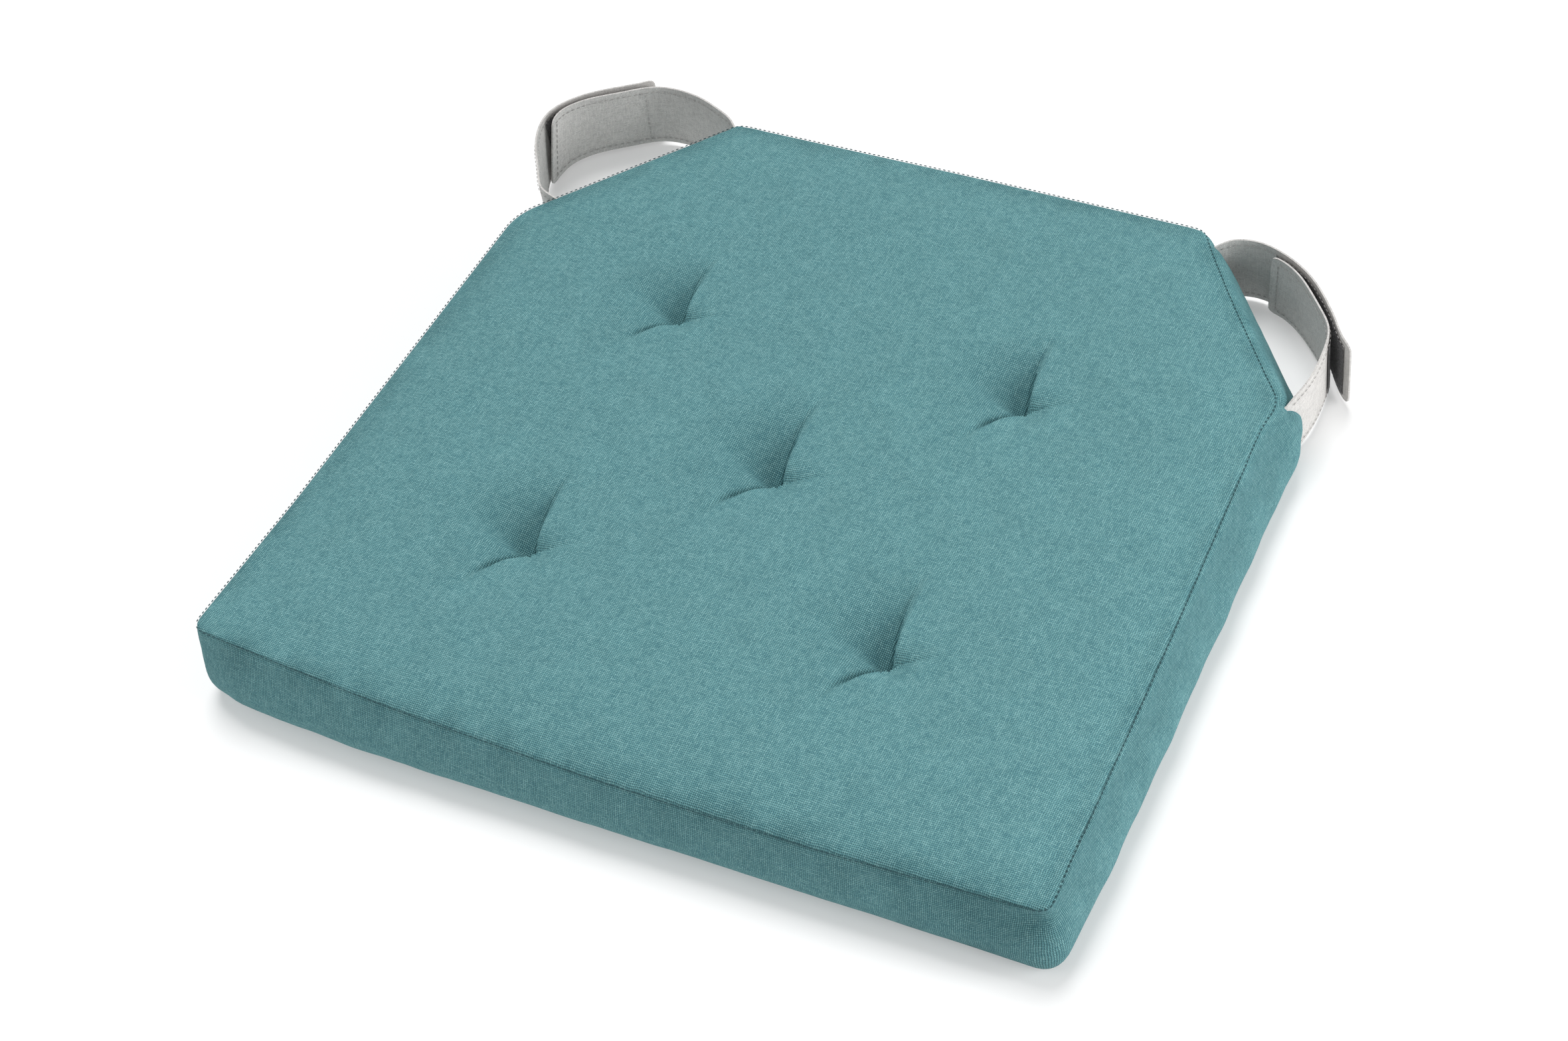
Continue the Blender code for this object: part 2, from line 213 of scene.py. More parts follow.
def place_verts(verts: list[bmesh.types.BMVert], points: np.ndarray) -> None:
    """Move each vertex to its point."""
    for vert, point in zip(verts, points.tolist()):
        vert.co = point


def mesh_points(mesh: bpy.types.Mesh) -> np.ndarray:
    """Read a mesh's points, one row each."""
    flat = np.empty(len(mesh.vertices) * 3, np.float32)
    mesh.vertices.foreach_get("co", flat)
    return flat.reshape(-1, 3)


def grid_verts(bm: bmesh.types.BMesh, columns: int, rows: int) -> list[bmesh.types.BMVert]:
    """Add a grid with so many points each way, and list its vertices row by row."""
    made = bmesh.ops.create_grid(bm, x_segments=columns - 1, y_segments=rows - 1, size=1.0)
    return sorted(made["verts"], key=lambda v: (round(v.co.y, 6), round(v.co.x, 6)))


def extrude_ring(
    bm: bmesh.types.BMesh, edges: list[bmesh.types.BMEdge], ring: list[bmesh.types.BMVert]
) -> tuple[list[bmesh.types.BMEdge], list[bmesh.types.BMVert], list[bmesh.types.BMFace]]:
    """Extrude a closed ring of edges once.

    Args:
        bm: The mesh.
        edges: The ring's edges.
        ring: Its vertices, in order.

    Returns:
        The new ring's edges, its vertices in the same order, and the faces between the two.
    """
    made = bmesh.ops.extrude_edge_only(bm, edges=edges)["geom"]
    new = {g for g in made if isinstance(g, bmesh.types.BMVert)}
    ring = [next(o for e in v.link_edges if (o := e.other_vert(v)) in new) for v in ring]
    edges = [g for g in made if isinstance(g, bmesh.types.BMEdge) and set(g.verts) <= new]
    return edges, ring, [g for g in made if isinstance(g, bmesh.types.BMFace)]


def walked(points: np.ndarray) -> np.ndarray:
    """Give the distance along a line at each of its points."""
    return np.concatenate([[0], np.cumsum(np.linalg.norm(np.diff(points, axis=0), axis=1))])


def ring_track(
    at: np.ndarray, values: np.ndarray, total: float, taps: int, wanted: np.ndarray
) -> np.ndarray:
    """Smooth values that are given around a closed ring, and read them at other places.

    Args:
        at: Distances around, where the values are.
        values: The values.
        total: The length of the ring.
        taps: How many steps of 2 mm the smoothing takes in, an odd number.
        wanted: Distances around, where they are read.

    Returns:
        One value for each wanted place.
    """
    even = np.arange(0, total, RING_STEP)
    blur = np.exp(-np.linspace(-2.2, 2.2, taps) ** 2)
    blur /= blur.sum()
    track = np.interp(even, at, values, period=total)
    wrapped = np.concatenate([track[-(taps // 2) :], track, track[: taps // 2]])
    return np.interp(wanted, even, np.convolve(wrapped, blur, "valid"), period=total)


# ---- Finishes -----------------------------------------------------------------------------
def start_material(
    name: str, sockets: dict
) -> tuple[bpy.types.Material, bpy.types.NodeTree, bpy.types.Node]:
    """Start a material.

    Args:
        name: Its name.
        sockets: Values of its shader's inputs, by name.

    Returns:
        The material, its node tree and its shader.
    """
    material = bpy.data.materials.new(name)
    material.use_nodes = True
    shader = material.node_tree.nodes["Principled BSDF"]
    for key, value in sockets.items():
        shader.inputs[key].default_value = value
    return material, material.node_tree, shader


# How a plain weave's height comes from u and v, which count yarns: the name of each step's
# result, its operation, and what it takes.
WEAVE_STEPS = (
    ("column", "FLOOR", "u"),
    ("row", "FLOOR", "v"),
    ("both", "ADD", "column", "row"),
    ("odd", "FLOORED_MODULO", "both", 2.0),
    ("sign", "MULTIPLY_ADD", "odd", 2.0, -1.0),
    ("part_u", "FRACT", "u"),
    ("part_v", "FRACT", "v"),
    ("turn_u", "MULTIPLY", "part_u", math.pi),
    ("turn_v", "MULTIPLY", "part_v", math.pi),
    ("round_u", "SINE", "turn_u"),
    ("round_v", "SINE", "turn_v"),
    ("over", "MULTIPLY", "sign", "round_v"),
    ("under", "MULTIPLY", "sign", "round_u"),
    ("warp_lift", "MULTIPLY_ADD", "over", 0.4, 0.6),
    ("weft_lift", "MULTIPLY_ADD", "under", -0.4, 0.6),
    ("warp", "MULTIPLY", "round_u", "warp_lift"),
    ("weft", "MULTIPLY", "round_v", "weft_lift"),
    ("height", "MAXIMUM", "warp", "weft"),
    ("warp_on_top", "GREATER_THAN", "warp", "weft"),
)


@dataclass(frozen=True)
class WovenCloth:
    """Plain-weave cotton: slubbed yarns pass over and under each other, with painted shade in the
    small gaps between them.
    """

    name: str
    pale: str
    middle: str
    dark: str
    # The gap colour, at the gap depth, is painted shade in the low places between the yarns.
    gap: str
    pitch: float = 0.85  # millimetres from yarn to yarn
    tone_reach: float = 0.24 / 1.3  # how far a yarn's tone strays before it is at its darkest
    slub: tuple[float, float, float] = (7.31, 0.17, 0.0)  # about 15 yarns long, new on each yarn
    gap_shade_depth: float = 0.88
    # The seam colour and depth paint shade along the crease of each seam.
    seam_shade: str = "1C454B"
    seam_shade_depth: float = 0.30
    relief: float = 0.35  # bump height in millimetres
    roughness: float = 0.92
    sheen: float = 0.18

    def build(self) -> bpy.types.Material:
        """Make the material.

        Returns:
            A material that reads the piece's "cloth" map, in millimetres along the yarns, and
            its attributes "open_weave", where the cloth is pulled open, and "seam_line".
        """
        material, tree, shader = start_material(self.name, {
            "Roughness": self.roughness, "Specular IOR Level": 0.25,
            "Sheen Weight": self.sheen, "Sheen Roughness": 0.5, "Sheen Tint": linear(self.pale),
        })
        flat = {"noise_dimensions": "2D"}
        cloth = add(tree, "ShaderNodeUVMap", {"uv_map": "cloth"}).outputs[0]
        scaled = add(
            tree, "ShaderNodeVectorMath", {"operation": "SCALE"}, {0: cloth, "Scale": 1 / self.pitch}
        ).outputs[0]
        wander = add(
            tree, "ShaderNodeTexNoise", flat, {"Vector": scaled, "Scale": 0.16, "Detail": 2.0}
        ).outputs["Color"]
        shifted = add(
            tree, "ShaderNodeVectorMath", {"operation": "MULTIPLY_ADD"},
            {0: wander, 1: (0.9, 0.9, 0.0), 2: scaled},
        ).outputs[0]
        split = add(tree, "ShaderNodeSeparateXYZ", {}, {0: shifted})
        weave = {"u": split.outputs[0], "v": split.outputs[1]}
        for result, operation, *taken in WEAVE_STEPS:
            inputs = {index: weave.get(value, value) for index, value in enumerate(taken)}
            weave[result] = add(
                tree, "ShaderNodeMath", {"operation": operation}, inputs
            ).outputs[0]
        tones = []
        for yarn, run, offset in (("column", "v", 0.0), ("row", "u", 41.7)):
            place = add(tree, "ShaderNodeCombineXYZ", {}, {0: weave[yarn], 1: weave[run]}).outputs[0]
            slub = add(
                tree, "ShaderNodeVectorMath", {"operation": "MULTIPLY_ADD"},
                {0: place, 1: self.slub, 2: (offset, 3.0, 0.0)},
            ).outputs[0]
            tones.append(add(
                tree, "ShaderNodeTexNoise", flat,
                {"Vector": slub, "Scale": 1.0, "Detail": 3.0, "Roughness": 0.6},
            ).outputs["Fac"])
        tone = add(
            tree, "ShaderNodeMix", {"data_type": "FLOAT"},
            {0: weave["warp_on_top"], 2: tones[1], 3: tones[0]},
        ).outputs[0]
        spread = add(
            tree, "ShaderNodeMapRange", {},
            {"Value": tone, "From Min": 0.5 - self.tone_reach, "From Max": 0.5 + self.tone_reach},
        ).outputs[0]
        ramp = add(tree, "ShaderNodeValToRGB", {}, {0: spread})
        ramp.color_ramp.elements[0].color = linear(self.dark)
        ramp.color_ramp.elements[1].color = linear(self.pale)
        ramp.color_ramp.elements.new(0.5).color = linear(self.middle)
        blotch = add(
            tree, "ShaderNodeTexNoise", flat,
            {"Vector": cloth, "Scale": 0.045, "Detail": 4.0, "Roughness": 0.65},
        ).outputs["Fac"]
        wash = add(
            tree, "ShaderNodeMapRange", {},
            {"Value": blotch, "From Min": 0.25, "From Max": 0.75, "To Min": 0.96, "To Max": 1.03},
        ).outputs[0]
        opened, seam = (
            add(tree, "ShaderNodeAttribute", {"attribute_name": name}).outputs["Fac"]
            for name in ("open_weave", "seam_line")
        )
        # Where the weave is pulled open, the gaps and their painted shade widen.
        pull = add(
            tree, "ShaderNodeMapRange", {}, {"Value": opened, "To Min": 0.62, "To Max": 1.05}
        ).outputs[0]
        # Painted shade: a seam is painted as a fine dark line, the shade in the crease where the two
        # edges turn in.
        ease = {"interpolation_type": "SMOOTHSTEP"}
        # Painted shade: the low places between the yarns are painted towards the gap colour.
        gap_shade = add(tree, "ShaderNodeMapRange", ease, {
            "Value": weave["height"], "From Min": 0.18, "From Max": pull,
            "To Min": self.gap_shade_depth, "To Max": 0.0,
        }).outputs[0]
        cut = add(tree, "ShaderNodeMapRange", ease, {
            "Value": seam, "From Min": 0.7, "From Max": 1.0, "To Min": 0.0,
            "To Max": self.seam_shade_depth,
        }).outputs[0]
        colour = {"data_type": "RGBA"}
        shaded = add(
            tree, "ShaderNodeMix", colour, {0: gap_shade, 6: ramp.outputs[0], 7: linear(self.gap)}
        ).outputs[2]
        washed = add(
            tree, "ShaderNodeVectorMath", {"operation": "SCALE"}, {0: shaded, "Scale": wash}
        ).outputs[0]
        seamed = add(
            tree, "ShaderNodeMix", colour, {0: cut, 6: washed, 7: linear(self.seam_shade)}
        ).outputs[2]
        fuzz = add(
            tree, "ShaderNodeTexNoise", flat, {"Vector": cloth, "Scale": 3.1, "Detail": 3.0}
        ).outputs["Fac"]
        relief = add(
            tree, "ShaderNodeMath", {"operation": "MULTIPLY_ADD"},
            {0: fuzz, 1: 0.35, 2: weave["height"]},
        ).outputs[0]
        bump = add(
            tree, "ShaderNodeBump", {},
            {"Height": relief, "Distance": self.relief * MM, "Strength": 0.8},
        ).outputs[0]
        tree.links.new(seamed, shader.inputs["Base Color"])
        tree.links.new(bump, shader.inputs["Normal"])
        return material


@dataclass(frozen=True)
class Thread:
    """Spun polyester sewing thread: two plies twisted, seen as fine slanting ridges."""

    name: str
    colour: str
    pitch: float = 0.7  # millimetres from ridge to ridge
    ridge: float = 0.1  # millimetres

    def build(self) -> bpy.types.Material:
        """Make the material, with its twist on Object coordinates.

        Returns:
            The material.
        """
        material, tree, shader = start_material(self.name, {"Roughness": 0.7})
        place = add(tree, "ShaderNodeTexCoord").outputs["Object"]
        twist = add(
            tree, "ShaderNodeTexWave", {"bands_direction": "DIAGONAL"},
            {"Vector": place, "Scale": 0.5 / (self.pitch * MM), "Distortion": 1.0},
        ).outputs["Fac"]
        # Painted shade: the grooves between the twisted plies are painted darker.
        tint = add(
            tree, "ShaderNodeMix", {"data_type": "RGBA", "blend_type": "MULTIPLY"},
            {0: 0.35, 6: linear(self.colour), 7: twist},
        ).outputs[2]
        bump = add(
            tree, "ShaderNodeBump", {}, {"Height": twist, "Distance": self.ridge * MM}
        ).outputs[0]
        tree.links.new(tint, shader.inputs["Base Color"])
        tree.links.new(bump, shader.inputs["Normal"])
        return material


@dataclass(frozen=True)
class FastenerTape:
    """Nylon hook or loop tape: a dense mat of bristles, with painted shade between them."""

    name: str
    pale: str
    dark: str
    grain: float = 0.9  # millimetres between tufts
    pile: float = 0.6  # bump height in millimetres

    def build(self) -> bpy.types.Material:
        """Make the material, with its bristles on Object coordinates.

        Returns:
            The material.
        """
        material, tree, shader = start_material(
            self.name, {"Roughness": 0.75, "Sheen Weight": 0.2}
        )
        place = add(tree, "ShaderNodeTexCoord").outputs["Object"]
        cells = add(
            tree, "ShaderNodeTexVoronoi", {}, {"Vector": place, "Scale": 1 / (self.grain * MM)}
        ).outputs["Distance"]
        mat = add(
            tree, "ShaderNodeTexNoise", {},
            {"Vector": place, "Scale": 1600.0, "Detail": 4.0, "Roughness": 0.7},
        ).outputs["Fac"]
        pile = add(tree, "ShaderNodeMath", {"operation": "SUBTRACT"}, {0: mat, 1: cells}).outputs[0]
        level = add(
            tree, "ShaderNodeMapRange", {}, {"Value": pile, "From Min": -0.4, "From Max": 0.5}
        ).outputs[0]
        # Painted shade: the low places between the bristle tufts are painted towards the dark
        # colour.
        tint = add(
            tree, "ShaderNodeMix", {"data_type": "RGBA"},
            {0: level, 6: linear(self.dark), 7: linear(self.pale)},
        ).outputs[2]
        bump = add(
            tree, "ShaderNodeBump", {}, {"Height": pile, "Distance": self.pile * MM}
        ).outputs[0]
        tree.links.new(tint, shader.inputs["Base Color"])
        tree.links.new(bump, shader.inputs["Normal"])
        return material


@dataclass(frozen=True)
class StudioFloor:
    """Matt white seamless paper."""

    name: str = "white_paper_sweep"
    colour: str = "DCDCDC"
    glow: float = 0.27  # the paper is lit through from below, which softens the shadows

    def build(self) -> bpy.types.Material:
        """Make the material."""
        return start_material(self.name, {
            "Base Color": linear(self.colour), "Emission Color": linear("FFFFFF"),
            "Emission Strength": self.glow, "Roughness": 0.95, "Specular IOR Level": 0.1,
        })[0]


# Each cloth's gap colour is painted shade between its yarns; its yarn tones are its own colour.
COVER_COTTON = WovenCloth(
    "teal_cotton_canvas", pale="7DADB0", middle="6A9CA0", dark="578990", gap="1D454B"
)
STRAP_COTTON = WovenCloth(
    "grey_cotton_twill_tape", pale="DAD8D5", middle="CFCDCA", dark="BEBCBA", gap="8E8C8C",
    pitch=0.7, gap_shade_depth=0.45, relief=0.2,
)
SEAM_THREAD = Thread("teal_sewing_thread", "1F4F56")
STRAP_THREAD = Thread("grey_sewing_thread", "BDBBB9")
# The dark colour of each tape is the painted shade between its bristles.
HOOK_TAPE = FastenerTape("charcoal_nylon_hook_tape", pale="78787A", dark="343437")
LOOP_TAPE = FastenerTape("grey_nylon_loop_tape", pale="8B8B8C", dark="4C4C4F", grain=0.6)


# ---- The pad ------------------------------------------------------------------------------
@dataclass
class PadOutline:
    """The pad's plan: straight front and back, and slanted back corners for the straps."""

    front_width: float = 0.400
    shoulder_width: float = 0.390
    back_width: float = 0.245
    depth: float = 0.380
    side_length: float = 0.286
    front_rounding: float = 0.007
    shoulder_rounding: float = 0.009
    back_rounding: float = 0.005

    @property
    def front_y(self) -> float:
        """The front edge."""
        return -self.depth / 2

    @property
    def shoulder_y(self) -> float:
        """Where the slanted corners begin."""
        return self.front_y + self.side_length

    def half_width(self, y: np.ndarray) -> np.ndarray:
        """Give half the pad's width at each depth."""
        return np.interp(
            y,
            [self.front_y, self.shoulder_y, self.depth / 2],
            [self.front_width / 2, self.shoulder_width / 2, self.back_width / 2],
        )

    def corners(self) -> list[tuple[Vector, float]]:
        """List the corners anticlockwise from the front left one, with their roundings."""
        half = [self.front_width / 2, self.shoulder_width / 2, self.back_width / 2]
        back = self.depth / 2
        return [
            (Vector((-half[0], self.front_y)), self.front_rounding),
            (Vector((half[0], self.front_y)), self.front_rounding),
            (Vector((half[1], self.shoulder_y)), self.shoulder_rounding),
            (Vector((half[2], back)), self.back_rounding),
            (Vector((-half[2], back)), self.back_rounding),
            (Vector((-half[1], self.shoulder_y)), self.shoulder_rounding),
        ]

    def corner_frame(self, side: int) -> tuple[Vector, Vector, Vector]:
        """Give a slanted corner's shoulder, its direction to the back, and its outward normal."""
        shoulder = Vector((side * self.shoulder_width / 2, self.shoulder_y))
        back = Vector((side * self.back_width / 2, self.depth / 2))
        along = (back - shoulder).normalized()
        return shoulder, along, Vector((along.y, -along.x)) * side


@dataclass
class Tufts:
    """Five places where a thread pulls the top down into a pit with folded creases.

    Four creases meet at each: a sharp slit towards the back, a soft one to the left, and a
    smooth lip that runs from the front left, past the pit, to the right.
    """

    spacing: tuple[float, float] = (0.0872, 0.0770)
    centre: tuple[float, float] = (0.0020, -0.0228)
    slit: float = 101.0
    soft: float = 171.0
    right: float = 32.0
    left: float = 217.0
    reach: float = 0.042
    wedge_depth: float = 0.0125
    flank_depth: float = 0.0080
    lip_height: float = 0.0009
    bowl_depth: float = 0.0012
    flank_reach: float = 0.030
    # Lengths of the creases.
    slit_length: float = 0.048
    left_length: float = 0.034
    right_length: float = 0.032
    # Widths over which the cloth turns down at them, and how much wider a bank gets outwards.
    sharp: float = 0.0008
    lip_width: float = 0.0010
    lip_widening: float = 0.04
    soft_width: float = 0.0016
    soft_widening: float = 0.16
    left_width: float = 0.0014
    lip_rounding: float = 0.0022
    # How much each crease bends to its right along its length.
    slit_bend: float = 2.5
    right_bend: float = 5.0
    left_bend: float = -11.0
    # Depth and width of the groove along each crease, and of the pit behind and before its lip.
    slit_groove: tuple[float, float] = (0.0036, 0.0010)
    left_groove: tuple[float, float] = (0.0034, 0.0017)
    right_groove: tuple[float, float] = (0.0006, 0.0011)
    right_fall: tuple[float, float] = (0.0026, 0.0050)
    inner_bowl: tuple[float, float] = (0.0055, 0.0055)
    front_bowl: tuple[float, float] = (0.0026, 0.0085)
    # Radius and width of the rings that stand up behind the pit and before it.
    inner_ring: tuple[float, float] = (0.016, 0.008)
    front_ring: tuple[float, float] = (0.010, 0.007)

    def places(self) -> list[tuple[str, float, float, float, float]]:
        """List each tuft's name, place, strength and turn in degrees."""
        (across, along), (x, y) = self.spacing, self.centre
        return [
            ("centre", x, y, 1.10, -2.0),
            ("front_left", x - across + 0.002, y - along + 0.003, 1.0, 0.0),
            ("front_right", x + across + 0.002, y - along, 1.05, 1.0),
            ("back_left", x - across - 0.001, y + along, 0.92, -3.0),
            ("back_right", x + across - 0.001, y + along, 1.0, 1.0),
        ]

    def sink(self, x: np.ndarray, y: np.ndarray) -> tuple[np.ndarray, np.ndarray]:
        """Give how far the top is drawn down at each plan point.

        Args:
            x: Places across.
            y: Places along the depth.

        Returns:
            Depths in metres, and 0 to 1 for how far the weave is pulled open.
        """
        total, opened = np.zeros_like(x), np.zeros_like(x)
        for _, cx, cy, strength, turn in self.places():
            dx, dy = (x - cx) / strength, (y - cy) / strength
            near = np.hypot(dx, dy) < 0.09
            depth, pulled = self.one_pit(dx[near], dy[near], turn)
            total[near] += depth * strength
            opened[near] += pulled
        return total, opened

    def one_pit(
        self, dx: np.ndarray, dy: np.ndarray, turn: float
    ) -> tuple[np.ndarray, np.ndarray]:
        """Give one pit's depth and open weave around its middle.

        Args:
            dx: Places across from the middle.
            dy: Places along from the middle.
            turn: How far the creases are turned, in degrees.

        Returns:
            Depths, and 0 to 1 for open weave.
        """
        r = np.hypot(dx, dy)

        def crease(bearing: float, bend: float) -> tuple[np.ndarray, np.ndarray]:
            """Measure along a crease, and across it to its left."""
            way = math.radians(bearing + turn)
            along = dx * math.cos(way) + dy * math.sin(way)
            across = dy * math.cos(way) - dx * math.sin(way)
            return along, across + bend * np.clip(along, 0, None) ** 2

        def bank(across: np.ndarray, width: np.ndarray | float) -> np.ndarray:
            """Go from 0 on the right of a crease to 1 on its left."""
            return smooth_step(across / (2 * width) + 0.5)

        def taper(along: np.ndarray, length: float, power: float) -> np.ndarray:
            """Fade a crease from the middle to its end, and behind the middle."""
            return fade(along, length, power) * smooth_step(along / 0.003 + 0.7)

        def dip(size: tuple[float, float], value: np.ndarray) -> np.ndarray:
            """Give a rounded dip of this depth and width."""
            return size[0] * bell(value, size[1])

        def ring(size: tuple[float, float]) -> np.ndarray:
            """Give a ring around the middle, of this radius and width."""
            return self.lip_height * bell(r - size[0], size[1])

        slit, slit_off = crease(self.slit, self.slit_bend)
        _, soft_off = crease(self.soft, 0.0)
        right, right_off = crease(self.right, self.right_bend)
        left, left_off = crease(self.left, self.left_bend)
        # The lip rounds the pit's front in one smooth arc.
        sides = (off / self.lip_rounding for off in (right_off, -left_off))
        lip = -self.lip_rounding * np.log(sum(np.exp(np.clip(off, -40, 40)) for off in sides))
        front = bank(lip, self.lip_width + self.lip_widening * r)
        soft = self.soft_width + self.soft_widening * r
        wedge = bank(slit_off, self.sharp) * bank(-soft_off, soft)
        between = bank(right_off, self.lip_width) * bank(-slit_off, self.sharp)
        flank = bank(soft_off, soft) * bank(-left_off, self.left_width)
        behind = wedge + between + flank + 1e-6
        wedge, between, flank = (part / behind * (1 - front) for part in (wedge, between, flank))
        depth = wedge * self.wedge_depth * fade(r, self.reach, 1.5)
        depth += flank * self.flank_depth * fade(r, self.flank_reach, 1.8)
        fall, fall_width = self.right_fall
        inner = dip(self.inner_bowl, r) - 0.7 * ring(self.inner_ring)
        inner += (
            fall * taper(right, self.right_length, 1.2)
            * np.exp(-np.clip(right_off, 0, 1) / fall_width)
        )
        depth += between * inner
        depth += front * (dip(self.front_bowl, r) - ring(self.front_ring))
        depth += taper(slit, self.slit_length, 0.7) * dip(self.slit_groove, slit_off)
        depth += taper(left, self.left_length, 0.7) * dip(self.left_groove, left_off + 0.0010)
        depth += taper(right, self.right_length, 1.0) * dip(self.right_groove, right_off)
        depth += self.bowl_depth * bell(r, self.flank_reach)
        # The pulled-open weave here also widens the painted shade in the gaps, darkening the sunk
        # wedge and flank.
        pulled = (wedge + 0.5 * flank) * np.clip(1.25 - r / self.reach, 0, 1)
        return depth, pulled


@dataclass
class SeamCourse:
    """How the top seam wanders: outward shift and height at places along the pad's edges."""

    # (edge number, part of the way along it, outward shift in mm, height in mm)
    stops: tuple[tuple[int, float, float, float], ...] = (
        (0, 0.00, 0.0, 44.0),
        (0, 0.10, 1.2, 41.0),
        (0, 0.25, 2.8, 37.0),
        (0, 0.50, 3.4, 34.8),
        (0, 0.75, 2.6, 35.6),
        (0, 0.93, 0.6, 38.6),
        (1, 0.00, 0.0, 40.0),
        (1, 0.08, -1.0, 40.0),
        (1, 0.50, -2.6, 40.0),
        (1, 0.85, -5.0, 40.5),
        (1, 0.96, -6.0, 40.5),
        (2, 0.00, -2.2, 41.0),
        (2, 0.15, -3.0, 40.8),
        (2, 0.60, -2.6, 40.8),
        (2, 0.93, -1.2, 41.0),
        (3, 0.00, 0.4, 40.8),
        (3, 0.50, 1.7, 39.6),
        (4, 0.00, 0.8, 39.0),
        (4, 0.50, 3.4, 37.8),
        (5, 0.00, 5.2, 37.0),
        (5, 0.30, 4.5, 36.8),
        (5, 0.70, 2.8, 38.0),
        (5, 0.92, 1.0, 42.0),
    )


def cubic_weights(at: np.ndarray, count: int) -> np.ndarray:
    """Weigh evenly spaced samples smoothly for places between them.

    Args:
        at: Places from 0 to 1.
        count: How many samples there are.

    Returns:
        Weights by place and sample, each place's adding to 1.
    """
    gap = np.abs(at[:, None] * (count - 1) - np.arange(-1, count + 1)[None, :])
    near = np.where(gap < 1, 2 / 3 - gap**2 + gap**3 / 2, np.clip(2 - gap, 0, None) ** 3 / 6)
    # A sample past either end carries the last two on in a straight line.
    weights = near[:, 1:-1]
    for beyond, last, before in ((0, 0, 1), (-1, -1, -2)):
        weights[:, last] += 2 * near[:, beyond]
        weights[:, before] -= near[:, beyond]
    return weights


